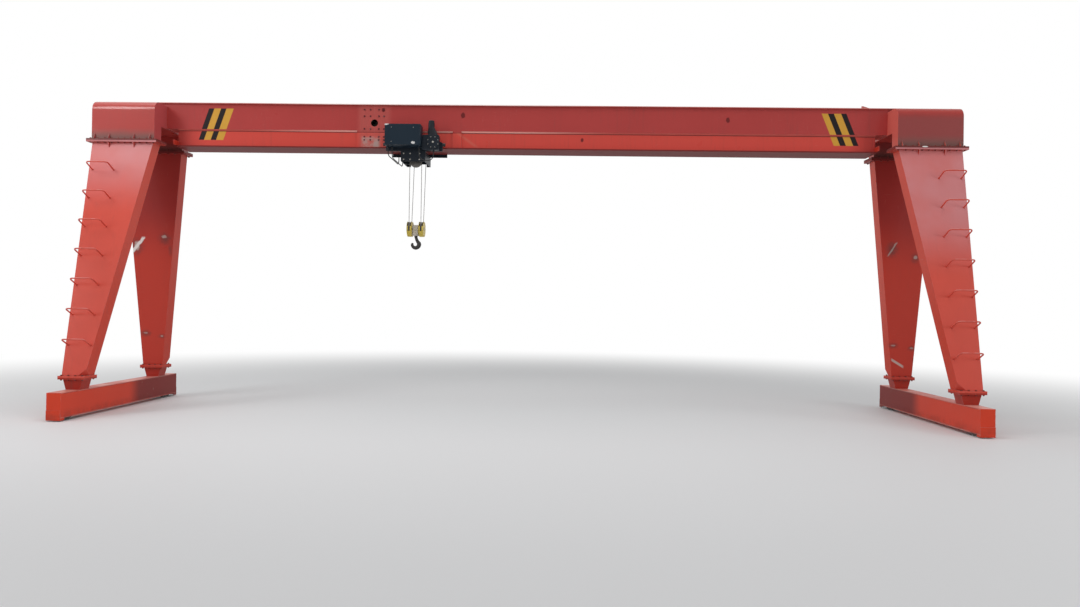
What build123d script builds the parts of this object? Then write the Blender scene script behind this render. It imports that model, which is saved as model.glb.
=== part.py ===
from build123d import *
import math
import os

# X runs along the girder, Y along the rails, Z up.
# The origin is on the floor, midway between the four travel wheels.

# Driving sizes, in millimetres
span = 12500.0              # between the centre lines of the two end carriages
wheel_base = 2680.0         # between the axles of one end carriage

# End carriages
carriage_width = 200.0
carriage_height = 345.0
carriage_floor_gap = 45.0   # from the floor to the underside of the carriage
carriage_web = 8.0
carriage_cap = 12.0         # thickness of the top and bottom plates
carriage_lip = 8.0          # how far those plates stand out past the webs
top_lip_setback = 350.0     # from the carriage's ends to the ends of the top lip
bottom_lip_setback_front = 235.0
bottom_lip_setback_rear = 560.0
carriage_end_plate = 10.0
wheel_end_gap = 80.0        # from the wheel to the carriage's end plate
wheel_bay_gap = 130.0       # from the wheel to the other end of its bay

# Travel wheels and their axles
wheel_tread_diameter = 250.0
wheel_flange_height = 15.0
wheel_flange_thickness = 14.0
wheel_width = 96.0
wheel_web_recess = 14.0
wheel_hub_diameter = 110.0
wheel_rim = 26.0
axle_diameter = 56.0
axle_clearance = 0.05
bearing_cap_diameter = 118.0
bearing_cap_thickness = 12.0
bearing_cap_recess = 5.0
axle_overhang = 4.0         # from the outer web to the axle's end
axle_seat = 5.0             # depth of the axle's blind seat in the inner web

# Rail sweepers at the ends of the carriages
sweeper_thickness = 8.0
sweeper_wing = 80.0         # length of the wings under the carriage's webs
sweeper_floor_gap = 14.0
sweeper_top = 150.0

# Seats between the carriages and the legs
joint_plate = 25.0          # thickness of every bolted joint plate
seat_height = 145.0         # from the carriage to the underside of the seat's plate
seat_wall = 10.0
seat_top_width = 280.0
seat_depth = 210.0
foot_plate_lip_x = 17.0     # how far the foot's plates stand out past the leg
foot_plate_lip_y = 37.0

# Legs
foot_y = 1060.0             # from the girder's centre line to the leg's foot
leg_foot_outer = 155.0      # from the carriage's centre line, away from the crane
leg_foot_inner = 173.0      # from the carriage's centre line, towards the crane
leg_foot_depth = 226.0
leg_top_outer = 174.0
leg_top_inner = 745.0
leg_wall = 8.0
leg_height = 3435.0         # between the leg's two joint plates
foot_cut_x = 100.0          # cut corner at the foot, along the leg's outer face
foot_cut_y = 110.0          # along its inner side
foot_cut_rise = 110.0
gusset_thickness = 12.0
gusset_height = 85.0
gusset_reach = 42.0
leg_gussets = (85.0, 460.0)  # from the carriage's centre line towards the crane
saddle_gussets = (-136.0, 82.0, 456.0, 697.0)

# Saddles
saddle_outer = 188.0
saddle_inner = 758.0
saddle_length = 1050.0      # along the rails
column_depth = 200.0
column_height = 232.0       # from the joint plate to the underside of the saddle's beam
saddle_height = 585.0       # from the joint plate to the top
saddle_wall = 10.0
saddle_bend = 140.0         # radius of the bent top corners
saddle_plate_lip_x = 55.0
saddle_plate_lip_y = 50.0

# Girder
girder_width = 320.0
girder_web = 8.0
girder_height = 682.0       # from the underside of the runway flange to the top
girder_top_plate = 12.0
girder_top_width = 380.0
seam_height = 283.0         # from the underside of the runway flange to the step in the web
web_step = 20.0             # how far the web is set back below the seam
runway_width = 440.0
runway_thickness = 20.0
runway_end_gap = 172.0      # from the saddle to the end of the runway
girder_lift = 40.0          # the runway flange's underside, below the saddle's joint plate
splice_x = -2280.0          # where the two girder sections are bolted together
splice_zone = 530.0         # length of full width web at the splice
splice_hole_diameter = 110.0
splice_hole_height = 400.0  # above the underside of the runway flange
patch_x = -1010.0           # short stretch of full width web beside the splice
patch_width = 135.0
splice_plate = 8.0
splice_plate_length = 460.0

lug_x = 5164.0              # end of the lifting lug on top of the girder
lug_length = 144.0
lug_height = 78.0
lug_low_height = 40.0
lug_thickness = 12.0
lug_hole_diameter = 26.0
lug_hole_margin = 45.0

# Step irons on the front legs
step_count = 7
step_pitch = 430.0
step_first_height = 1013.0
step_bar = 20.0
step_width = 318.0
step_reach = 170.0
step_rise = 90.0
step_offset = 42.0          # from the carriage's centre line towards the crane
step_bend = 45.0

# Stops at the ends of the runway
stop_thickness = 15.0
stop_height = 70.0
stop_reach = 300.0          # from the girder's centre line

# Travel drives on the hidden outer sides of the carriages
drive_case_width = 90.0
drive_case_length = 190.0
drive_case_height = 200.0
drive_motor_length = 190.0
drive_motor_diameter = 130.0
drive_case_corner = 50.0

# Trolley
trolley_x = -1645.0         # where the trolley stands on the runway
trolley_wheel_diameter = 110.0
trolley_wheel_lift = 0.3    # from the runway to the wheel
trolley_wheel_gap = 8.0     # from the full width web to the wheel
trolley_wheel_flange = 8.0
trolley_wheel_base = 600.0
trolley_flange_gap = 5.0    # from the runway's edge to the wheel's flange
trolley_axle = 30.0
trolley_plate = 14.0
trolley_plate_gap = 5.0     # from the wheel to the trolley's side plate
trolley_plate_above = 150.0  # above the running surface
trolley_plate_below = 45.0  # below the runway flange
buffer_reach = 471.0        # from the trolley's centre to the buffer's face
buffer_pad = 30.0
buffer_diameter = 50.0
buffer_plate = 10.0

# Yoke below the runway, with the return sheave
yoke_left = 204.0           # from the trolley's centre
yoke_right = 168.0
yoke_height = 147.0
yoke_gap = 49.0             # from the runway flange down to the yoke
yoke_plate = 12.0
yoke_roof_back = 20.0       # how far the yoke's roof reaches past the centre line
rear_tongue = 60.0          # width of the rear side plate's two tongues
rope_window = 45.0          # from the runway flange's underside to the top of the rear plate's opening
return_sheave_drop = 166.0  # from the runway flange down to the sheave's axis
return_sheave_pin = 36.0

# Electric cabinet on the front of the trolley
cabinet_left = 411.0        # from the trolley's centre
cabinet_right = 129.0
cabinet_height = 320.0
cabinet_depth = 180.0
cabinet_rise = 5.0          # from the runway flange's underside to the cabinet
cabinet_gap = 20.0          # from the trolley's side plate
cabinet_corner = 10.0
cabinet_cover = 6.0
cabinet_cover_margin = 8.0
bracket_height = 60.0
bracket_length = 60.0
bracket_offset = 160.0      # from the cabinet's middle to each bracket

# Trolley drive beside the cabinet
crab_case_gap = 6.0         # from the cabinet to the worm gear case
crab_case_right = 390.0     # from the trolley's centre
crab_case_drop = 40.0       # below the runway flange's underside
crab_case_rise = 187.0      # above the runway flange's underside
crab_case_depth = 96.0
crab_case_corner = 20.0
crab_cover_diameter = 190.0
crab_cover = 14.0
crab_cover_round = 5.0
crab_motor_offset = 35.0    # from the driven wheel's axle to the motor
crab_motor_diameter = 96.0
crab_motor_top = 407.0      # above the underside of the runway flange
crab_bell_left = 51.0       # from the motor's axis, at the foot of its bell housing
crab_bell_right = 102.0
crab_bell_corner = 30.0
crab_bell_height = 120.0
crab_fan_height = 40.0
crab_fan_step = 5.0

# Cables from the cabinet, and the glands that they end in
cable_diameter = 14.0
cable_bend = 90.0
cable_drop = 130.0          # from the runway's underside to the first cable's run
cable_step = 34.0           # from each cable's run down to the next
cable_pitch = 62.0
cable_margin = 36.0         # from the cabinet's end to the first gland
gland_diameter = 26.0
gland_length = 18.0

# Rope drum, gearbox and motor on the back of the trolley
drum_y = 430.0
drum_rise = 190.0           # from the runway flange's underside to the drum's axis
drum_diameter = 230.0
drum_length = 380.0
drum_flange_diameter = 290.0
drum_flange = 10.0
drum_gap = 5.0              # from the drum to the plates that carry it
drum_support = 14.0
drum_support_back = 100.0   # how far those plates reach past the drum's axis
drum_shaft = 50.0
hoist_case_width = 120.0
hoist_case_height = 300.0
hoist_case_depth = 250.0
hoist_case_corner = 40.0
hoist_case_round = 10.0
hoist_motor_length = 215.0
hoist_motor_diameter = 200.0
motor_fin_depth = 10.0
motor_fin_count = 24
motor_fin = 5.0

# Rope and hook block
rope_diameter = 9.0
rope_groove = 4.9           # radius of the groove in every sheave
sheave_spacing = 183.0      # between the two block sheaves
sheave_diameter = 200.0     # at the bottom of the groove
sheave_rim = 12.0
sheave_width = 32.0
sheave_lip = 3.5
sheave_web = 14.0
sheave_hub_diameter = 74.0
sheave_axis_z = 2830.0      # above the floor
cover_width = 70.0
cover_wall = 5.0
cover_gap = 4.0             # from the sheave's rim to its cover
cover_top = 108.0           # above the sheave's axis
cover_slot = 28.0           # width of the slots that the ropes leave through
cover_slot_base = 40.0      # below the sheave's axis
block_pin = 40.0
block_pin_end = 8.0
pin_clearance = 0.08
crosshead_width = 74.0
crosshead_depth = 110.0
crosshead_top = 62.0        # above the sheave's axis
crosshead_bottom = 108.0    # below the sheave's axis
crosshead_cheek = 12.0
crosshead_base = 38.0
crosshead_round = 27.0
shank_diameter = 32.0
hook_nut_diameter = 46.0
hook_nut_height = 24.0
hook_drop = 212.0           # from the crosshead to the hook's lowest point
hook_outer_radius = 84.0
hook_bowl_radius = 27.0
hook_bowl_shift = 10.0      # from the shank's axis to the bowl's, towards the tip
hook_back = 8.0             # how much thicker the back is than the tip side
hook_thickness = 44.0
hook_collar_diameter = 50.0
hook_neck_diameter = 46.0
hook_waist_width = 48.0     # where the neck turns into the back
hook_waist_shift = 12.0     # from the shank's axis to the waist
hook_waist_drop = 58.0      # from the crosshead to the waist
hook_waist_turn = 22.0
hook_collar_gap = 1.0
hook_neck = 20.0            # from the crosshead to the end of the collar
# angle round the bowl, then the share of the full width and of the thickness
hook_sections = (
    (38.0, 0.84, 0.96),
    (0.0, 1.0, 1.0),
    (-45.0, 1.0, 1.0),
    (-90.0, 1.0, 0.98),
    (-135.0, 0.94, 0.9),
    (-180.0, 0.82, 0.74),
    (-206.0, 0.5, 0.46),
)

# Places worked out from the sizes above, from the floor up
wheel_radius = wheel_tread_diameter / 2 + wheel_flange_height
carriage_length = wheel_base + 2 * (wheel_radius + wheel_end_gap + carriage_end_plate)
bay_length = 2 * wheel_radius + wheel_end_gap + wheel_bay_gap
carriage_top = carriage_floor_gap + carriage_height
seat_top = carriage_top + seat_height + joint_plate
foot_plate_width = 2 * (leg_foot_inner + foot_plate_lip_x)
foot_plate_depth = leg_foot_depth + 2 * foot_plate_lip_y
leg_bottom_z = seat_top + joint_plate
leg_top_z = leg_bottom_z + leg_height
saddle_base = leg_top_z + joint_plate + joint_plate
saddle_top = saddle_base + saddle_height
beam_base = saddle_base + column_height
runway_base = saddle_base - girder_lift
runway_top = runway_base + runway_thickness
seam_z = runway_base + seam_height
girder_top = runway_base + girder_height
web_top = girder_top - girder_top_plate
column_y = (saddle_length - column_depth) / 2
saddle_width = saddle_outer + saddle_inner
leg_slant = (foot_y - column_y + (leg_foot_depth - column_depth) / 2) / leg_height
gusset_foot_y = column_y + column_depth / 2
runway_end_x = span / 2 - saddle_inner - runway_end_gap
splice_half = splice_zone / 2
patch_half = patch_width / 2
girder_end_x = span / 2 + saddle_outer
wheel_inner_y = girder_width / 2 + trolley_wheel_gap
wheel_edge_y = runway_width / 2 + trolley_flange_gap
wheel_outer_y = wheel_edge_y + trolley_wheel_flange
plate_y = wheel_outer_y + trolley_plate_gap
plate_outer_y = plate_y + trolley_plate
trolley_axle_z = runway_top + trolley_wheel_lift + trolley_wheel_diameter / 2
yoke_top = runway_base - yoke_gap
yoke_bottom = yoke_top - yoke_height
trolley_plate_top = runway_top + trolley_plate_above
trolley_plate_base = runway_base - trolley_plate_below
trolley_plate_end = buffer_reach - buffer_pad - buffer_plate
drive_x = trolley_x + trolley_wheel_base / 2
cabinet_base = runway_base + cabinet_rise
cabinet_back = plate_outer_y + cabinet_gap
cable_level = runway_base - cable_drop
crab_case_base = runway_base - crab_case_drop
crab_case_top = runway_base + crab_case_rise
crab_middle_y = -plate_outer_y - crab_case_depth / 2
cable_y = -cabinet_back - cabinet_depth / 2
first_cable_x = trolley_x - cabinet_left + cable_margin
motor_cable_x = (first_cable_x, first_cable_x + cable_pitch)
drive_cable_x = trolley_x + cabinet_right - cable_margin
buffer_z = runway_top + stop_height / 2
rope_y = (sheave_diameter + rope_diameter) / 2
return_radius = sheave_spacing / 2
return_axis_z = runway_base - return_sheave_drop
drum_z = runway_base + drum_rise
drum_turn = (drum_diameter + rope_diameter) / 2
rope_rise = drum_z - sheave_axis_z
rope_lean = math.atan2(drum_y, rope_rise) - math.asin((rope_y + drum_turn) / math.hypot(drum_y, rope_rise))
fall_low_y = rope_y * math.cos(rope_lean)
fall_low_z = sheave_axis_z - rope_y * math.sin(rope_lean)
fall_high_y = drum_y - drum_turn * math.cos(rope_lean)
fall_high_z = drum_z + drum_turn * math.sin(rope_lean)
support_x = drum_length / 2 + drum_gap
crosshead_base_z = sheave_axis_z - crosshead_bottom
hook_bottom_z = crosshead_base_z - hook_drop
sides = {"left": -1, "right": 1}
rows = {"front": -1, "rear": 1}

os.makedirs("parts", exist_ok=True)


def save(part, name):
    part.label = name
    export_step(part, f"parts/{name}.step")


# End carriages: box beams, closed on top, open below the wheels
def end_carriage(side):
    inside_width = carriage_width - 2 * carriage_web
    plate_width = carriage_width + 2 * carriage_lip
    x = side * span / 2
    web_height = carriage_height - 2 * carriage_cap
    web_z = carriage_floor_gap + carriage_height / 2
    bottom_front = carriage_length / 2 - bottom_lip_setback_front
    bottom_rear = carriage_length / 2 - bottom_lip_setback_rear
    bay_cut = web_height + carriage_cap
    bay_centre = (carriage_length - bay_length) / 2 - carriage_end_plate
    bay_z = carriage_floor_gap + bay_cut / 2
    with BuildPart() as carriage:
        with Locations((x, 0, web_z)):
            Box(carriage_width, carriage_length, web_height)
        with Locations((x, 0, carriage_top - carriage_cap / 2), (x, 0, carriage_floor_gap + carriage_cap / 2)):
            Box(carriage_width, carriage_length, carriage_cap)
        with Locations((x, 0, carriage_top - carriage_cap / 2)):
            Box(plate_width, carriage_length - 2 * top_lip_setback, carriage_cap)
        with Locations((x, (bottom_rear - bottom_front) / 2, carriage_floor_gap + carriage_cap / 2)):
            Box(plate_width, bottom_front + bottom_rear, carriage_cap)
        with Locations((x, 0, web_z)):
            Box(inside_width, 2 * bay_centre - bay_length - 2 * carriage_end_plate, web_height, mode=Mode.SUBTRACT)
        with Locations((x, bay_centre, bay_z), (x, -bay_centre, bay_z)):
            Box(inside_width, bay_length, bay_cut, mode=Mode.SUBTRACT)
        with BuildSketch(Plane.YZ.offset(x + side * carriage_width)):
            with Locations((wheel_base / 2, wheel_radius), (-wheel_base / 2, wheel_radius)):
                Circle(axle_diameter / 2 + axle_clearance)
        extrude(amount=-side * (carriage_width + inside_width / 2 + axle_seat), mode=Mode.SUBTRACT)
    return carriage.part


# Tapered seats welded on the carriage, with the plate that the leg is bolted to
def leg_seats(side):
    x = side * span / 2
    with BuildPart() as seats:
        for row in rows.values():
            with BuildSketch(Plane.XY.offset(carriage_top)):
                with Locations((x, row * foot_y)):
                    Rectangle(carriage_width, seat_depth)
            with BuildSketch(Plane.XY.offset(carriage_top + seat_height)):
                with Locations((x, row * foot_y)):
                    Rectangle(seat_top_width, seat_depth)
            loft()
            with BuildSketch(Plane.XY.offset(carriage_top)):
                with Locations((x, row * foot_y)):
                    Rectangle(carriage_width - 2 * seat_wall, seat_depth - 2 * seat_wall)
            with BuildSketch(Plane.XY.offset(carriage_top + seat_height)):
                with Locations((x, row * foot_y)):
                    Rectangle(seat_top_width - 2 * seat_wall, seat_depth - 2 * seat_wall)
            loft(mode=Mode.SUBTRACT)
            with Locations((x, row * foot_y, seat_top - joint_plate / 2)):
                Box(foot_plate_width, foot_plate_depth, joint_plate)
    return seats.part


# Travel wheel with two flanges, pressed on its axle
def travel_wheel(side, row):
    x = side * span / 2
    y = row * wheel_base / 2
    tread = wheel_tread_diameter / 2
    hub = wheel_hub_diameter / 2
    half = wheel_width / 2
    outer_end = side * (carriage_width / 2 + axle_overhang)
    inner_end = -side * (carriage_width / 2 - carriage_web + axle_seat - axle_clearance)
    left_end = min(outer_end, inner_end)
    right_end = max(outer_end, inner_end)
    axle_plane = Plane(origin=(x, y, wheel_radius), x_dir=(1, 0, 0), z_dir=(0, -1, 0))
    with BuildPart() as wheel:
        with BuildSketch(axle_plane):
            with BuildLine():
                Polyline(
                    (left_end, 0),
                    (left_end, axle_diameter / 2),
                    (-half, axle_diameter / 2),
                    (-half, hub),
                    (-half + wheel_web_recess, hub + wheel_web_recess),
                    (-half + wheel_web_recess, tread - wheel_rim - wheel_web_recess),
                    (-half, tread - wheel_rim),
                    (-half, wheel_radius),
                    (-half + wheel_flange_thickness, wheel_radius),
                    (-half + wheel_flange_thickness + wheel_flange_height / 3, tread),
                    (half - wheel_flange_thickness - wheel_flange_height / 3, tread),
                    (half - wheel_flange_thickness, wheel_radius),
                    (half, wheel_radius),
                    (half, tread - wheel_rim),
                    (half - wheel_web_recess, tread - wheel_rim - wheel_web_recess),
                    (half - wheel_web_recess, hub + wheel_web_recess),
                    (half, hub),
                    (half, axle_diameter / 2),
                    (right_end, axle_diameter / 2),
                    (right_end, 0),
                    close=True,
                )
            make_face()
        revolve(axis=Axis((x, y, wheel_radius), (1, 0, 0)))
    return wheel.part


# Round caps over the axle ends, on the outer sides of the carriages
def bearing_caps():
    with BuildPart() as caps:
        for side in sides.values():
            face = side * (span + carriage_width) / 2
            with BuildSketch(Plane.YZ.offset(face)):
                with Locations((wheel_base / 2, wheel_radius), (-wheel_base / 2, wheel_radius)):
                    Circle(bearing_cap_diameter / 2)
            extrude(amount=side * bearing_cap_thickness)
            with BuildSketch(Plane.YZ.offset(face)):
                with Locations((wheel_base / 2, wheel_radius), (-wheel_base / 2, wheel_radius)):
                    Circle(axle_diameter / 2 + axle_clearance)
            extrude(amount=side * bearing_cap_recess, mode=Mode.SUBTRACT)
    return caps.part


# Plates with wings that push loose things off the rail, at the carriage's ends
def rail_sweepers():
    height = sweeper_top - sweeper_floor_gap
    wing_height = carriage_floor_gap - sweeper_floor_gap
    wing_x = (carriage_width - sweeper_thickness) / 2
    with BuildPart() as sweepers:
        for side in sides.values():
            for row in rows.values():
                x = side * span / 2
                y = row * (carriage_length + sweeper_thickness) / 2
                with Locations((x, y, sweeper_floor_gap + height / 2)):
                    Box(carriage_width, sweeper_thickness, height)
                y = row * (carriage_length - sweeper_wing) / 2
                z = sweeper_floor_gap + wing_height / 2
                with Locations((x - wing_x, y, z), (x + wing_x, y, z)):
                    Box(sweeper_thickness, sweeper_wing, wing_height)
    return sweepers.part


# Taper of a leg, inset by a wall, with the inner corner of its outer face cut off at the foot
def leg_taper(side, row, inset):
    foot_width = leg_foot_inner + leg_foot_outer
    foot_x = side * (span - leg_foot_inner + leg_foot_outer) / 2
    top_width = leg_top_inner + leg_top_outer
    top_x = side * (span - leg_top_inner + leg_top_outer) / 2
    cut = Plane(
        origin=(side * (span / 2 - leg_foot_inner + foot_cut_x), row * (foot_y + leg_foot_depth / 2), leg_bottom_z),
        z_dir=(side / foot_cut_x, -row / foot_cut_y, 1 / foot_cut_rise),
    )
    with BuildPart() as taper:
        with BuildSketch(Plane.XY.offset(leg_bottom_z)):
            with Locations((foot_x, row * foot_y)):
                Rectangle(foot_width - 2 * inset, leg_foot_depth - 2 * inset)
        with BuildSketch(Plane.XY.offset(leg_top_z)):
            with Locations((top_x, row * column_y)):
                Rectangle(top_width - 2 * inset, column_depth - 2 * inset)
        loft()
        split(bisect_by=cut.offset(inset))
    return taper.part


# Tapered box leg with its two joint plates
def leg(side, row):
    x = side * span / 2
    plate_width = saddle_width + 2 * saddle_plate_lip_x
    plate_x = x - side * (saddle_inner - saddle_outer) / 2
    with BuildPart() as tapered:
        add(leg_taper(side, row, 0))
        add(leg_taper(side, row, leg_wall), mode=Mode.SUBTRACT)
        with Locations((x, row * foot_y, leg_bottom_z - joint_plate / 2)):
            Box(foot_plate_width, foot_plate_depth, joint_plate)
        with Locations((plate_x, row * column_y, leg_top_z + joint_plate / 2)):
            Box(plate_width, column_depth + 2 * saddle_plate_lip_y, joint_plate)
        for reach in leg_gussets:
            with BuildSketch(Plane.YZ.offset(x - side * (reach + gusset_thickness / 2))):
                with BuildLine():
                    Polyline(
                        (row * (gusset_foot_y + gusset_reach), leg_top_z),
                        (row * (gusset_foot_y + gusset_reach), leg_top_z - gusset_thickness),
                        (row * (gusset_foot_y + gusset_height * leg_slant), leg_top_z - gusset_height),
                        (row * (gusset_foot_y - leg_wall / 2), leg_top_z - gusset_height),
                        (row * (gusset_foot_y - leg_wall / 2), leg_top_z),
                        close=True,
                    )
                make_face()
            extrude(amount=side * gusset_thickness)
    return tapered.part


# U shaped step irons on the front face of a front leg
def step_irons(side):
    x = side * (span / 2 - step_offset)
    foot_face_y = foot_y + leg_foot_depth / 2
    slope = math.hypot(step_reach, step_rise)
    with BuildPart() as steps:
        for number in range(step_count):
            height = step_first_height + number * step_pitch
            face_y = leg_slant * (height - leg_bottom_z) - foot_face_y
            plane = Plane(
                origin=(x, face_y, height),
                x_dir=(1, 0, 0),
                z_dir=(0, -step_rise, -step_reach),
            )
            with BuildLine(plane) as path:
                FilletPolyline(
                    (-step_width / 2, -step_bar),
                    (-step_width / 2, slope),
                    (step_width / 2, slope),
                    (step_width / 2, -step_bar),
                    radius=step_bend,
                )
            with BuildSketch(Plane(origin=path.line @ 0, z_dir=path.line % 0)):
                Circle(step_bar / 2)
            sweep(path=path.line)
        split(bisect_by=Plane(origin=(x, -foot_face_y, leg_bottom_z), x_dir=(1, 0, 0), z_dir=(0, -1, leg_slant)))
    return steps.part


# Saddle: an inverted U round the girder's end, with a joint plate under each column
def saddle(side):
    x_inner = side * (span / 2 - saddle_inner)
    half = saddle_length / 2
    inside = half - column_depth
    web = girder_width / 2
    plate_width = saddle_width + 2 * saddle_plate_lip_x
    plate_x = side * (span / 2 - (saddle_inner - saddle_outer) / 2)
    with BuildPart() as frame:
        with BuildSketch(Plane.YZ.offset(x_inner)):
            with BuildLine():
                FilletPolyline(
                    (0, saddle_top), (half, saddle_top), (half, saddle_base), radius=saddle_bend
                )
                Polyline((half, saddle_base), (inside, saddle_base), (inside, beam_base), (0, beam_base))
                Line((0, beam_base), (0, saddle_top))
            make_face()
            mirror(about=Plane.YZ)
        extrude(amount=side * saddle_width)
        with BuildSketch(Plane.YZ.offset(x_inner)):
            with Locations((0, (seam_z + girder_top) / 2)):
                Rectangle(girder_width, girder_top - seam_z)
        extrude(amount=side * saddle_width, mode=Mode.SUBTRACT)
        with BuildSketch(Plane.YZ.offset(x_inner + side * saddle_wall)):
            with BuildLine():
                FilletPolyline(
                    (web + saddle_wall, saddle_top - saddle_wall),
                    (half - saddle_wall, saddle_top - saddle_wall),
                    (half - saddle_wall, saddle_base),
                    radius=saddle_bend - saddle_wall,
                )
                Polyline(
                    (half - saddle_wall, saddle_base),
                    (inside + saddle_wall, saddle_base),
                    (inside + saddle_wall, beam_base + saddle_wall),
                    (web + saddle_wall, beam_base + saddle_wall),
                    (web + saddle_wall, saddle_top - saddle_wall),
                )
            make_face()
            mirror(about=Plane.YZ)
        extrude(amount=side * (saddle_width - 2 * saddle_wall), mode=Mode.SUBTRACT)
        for row in rows.values():
            with Locations((plate_x, row * column_y, saddle_base - joint_plate / 2)):
                Box(plate_width, column_depth + 2 * saddle_plate_lip_y, joint_plate)
            for reach in saddle_gussets:
                with BuildSketch(Plane.YZ.offset(side * (span / 2 - reach - gusset_thickness / 2))):
                    with BuildLine():
                        Polyline(
                            (row * gusset_foot_y, saddle_base),
                            (row * (gusset_foot_y + gusset_reach), saddle_base),
                            (row * (gusset_foot_y + gusset_reach), saddle_base + gusset_thickness),
                            (row * gusset_foot_y, saddle_base + gusset_height),
                            close=True,
                        )
                    make_face()
                extrude(amount=side * gusset_thickness)
    return frame.part


# One section of the box girder, hollow, with its runway flange
def girder_section(x_start, x_end, low_start, low_end, recesses):
    web = girder_width / 2
    low_web = web - web_step
    with BuildPart() as section:
        with BuildSketch(Plane.YZ.offset(x_start)):
            with Locations((0, (seam_z + web_top) / 2)):
                Rectangle(girder_width, web_top - seam_z)
            with Locations((0, (web_top + girder_top) / 2)):
                Rectangle(girder_top_width, girder_top_plate)
        extrude(amount=x_end - x_start)
        with BuildSketch(Plane.YZ.offset(low_start)):
            with Locations((0, (runway_top + seam_z) / 2)):
                Rectangle(girder_width, seam_z - runway_top)
            with Locations((0, (runway_base + runway_top) / 2)):
                Rectangle(runway_width, runway_thickness)
        extrude(amount=low_end - low_start)
        for start, end in recesses:
            for way in (-1, 1):
                with BuildSketch(Plane.YZ.offset(start)):
                    with BuildLine():
                        Polyline(
                            (way * web, seam_z),
                            (way * low_web, seam_z - web_step),
                            (way * low_web, runway_top),
                            (way * web, runway_top),
                            close=True,
                        )
                    make_face()
                extrude(amount=end - start, mode=Mode.SUBTRACT)
        hollow_start = max(x_start, -girder_end_x + girder_web)
        hollow_end = min(x_end, girder_end_x - girder_web)
        with BuildSketch(Plane.YZ.offset(hollow_start)):
            with Locations((0, (seam_z + girder_web + web_top) / 2)):
                Rectangle(girder_width - 2 * girder_web, web_top - seam_z - girder_web)
        extrude(amount=hollow_end - hollow_start, mode=Mode.SUBTRACT)
        low_hollow_start = max(low_start, -runway_end_x + girder_web)
        low_hollow_end = min(low_end, runway_end_x - girder_web)
        with BuildSketch(Plane.YZ.offset(low_hollow_start)):
            with Locations((0, (runway_top + seam_z + girder_web) / 2)):
                Rectangle(2 * (low_web - girder_web), seam_z + girder_web - runway_top)
        extrude(amount=low_hollow_end - low_hollow_start, mode=Mode.SUBTRACT)
        with BuildSketch(Plane.XZ):
            with Locations((splice_x, runway_base + splice_hole_height)):
                Circle(splice_hole_diameter / 2)
        extrude(amount=girder_width, mode=Mode.SUBTRACT)
    return section.part


# Right section of the girder, with the lifting lug on top
def girder_right():
    recesses = [(splice_x + splice_half, patch_x - patch_half), (patch_x + patch_half, runway_end_x)]
    with BuildPart() as section:
        add(girder_section(splice_x, girder_end_x, splice_x, runway_end_x, recesses))
        face = Plane(origin=(lug_x, lug_thickness / 2, girder_top), x_dir=(1, 0, 0), z_dir=(0, -1, 0))
        with BuildSketch(face):
            with BuildLine():
                Polyline(
                    (0, 0),
                    (lug_length, 0),
                    (lug_length, lug_low_height),
                    (lug_hole_margin / 2, lug_height),
                    (0, lug_height),
                    close=True,
                )
            make_face()
            with Locations((lug_hole_margin, lug_low_height)):
                Circle(lug_hole_diameter / 2, mode=Mode.SUBTRACT)
        extrude(amount=lug_thickness)
    return section.part


# Plates inside the webs that the splice bolts clamp
def splice_plates():
    low = seam_z + girder_web
    inner = girder_width / 2 - girder_web
    height = web_top - low - 2 * splice_plate
    with BuildPart() as plates:
        for way in (-1, 1):
            with Locations((splice_x, way * (inner - splice_plate / 2), low + splice_plate + height / 2)):
                Box(splice_plate_length, splice_plate, height)
        with BuildSketch(Plane.XZ):
            with Locations((splice_x, runway_base + splice_hole_height)):
                Circle(splice_hole_diameter / 2)
        extrude(amount=girder_width, mode=Mode.SUBTRACT)
    return plates.part


# Stops bolted across the ends of the runway
def runway_stops():
    low_web = girder_width / 2 - web_step
    with BuildPart() as stops:
        for way in (-1, 1):
            x = way * (runway_end_x - stop_thickness / 2)
            for row in rows.values():
                with Locations((x, row * (low_web + stop_reach) / 2, runway_top + stop_height / 2)):
                    Box(stop_thickness, stop_reach - low_web, stop_height)
    return stops.part


# Geared motors on the outer sides of the carriages, at the rear wheels
def travel_drives():
    y = wheel_base / 2
    with BuildPart() as drives:
        for side in sides.values():
            face = side * (span / 2 + carriage_width / 2 + bearing_cap_thickness)
            with BuildSketch(Plane.YZ.offset(face)):
                with Locations((y, wheel_radius)):
                    RectangleRounded(drive_case_length, drive_case_height, drive_case_corner)
            extrude(amount=side * drive_case_width)
            with BuildSketch(Plane.YZ.offset(face + side * drive_case_width)):
                with Locations((y, wheel_radius)):
                    Circle(drive_motor_diameter / 2)
            extrude(amount=side * drive_motor_length)
    return drives.part


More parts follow.
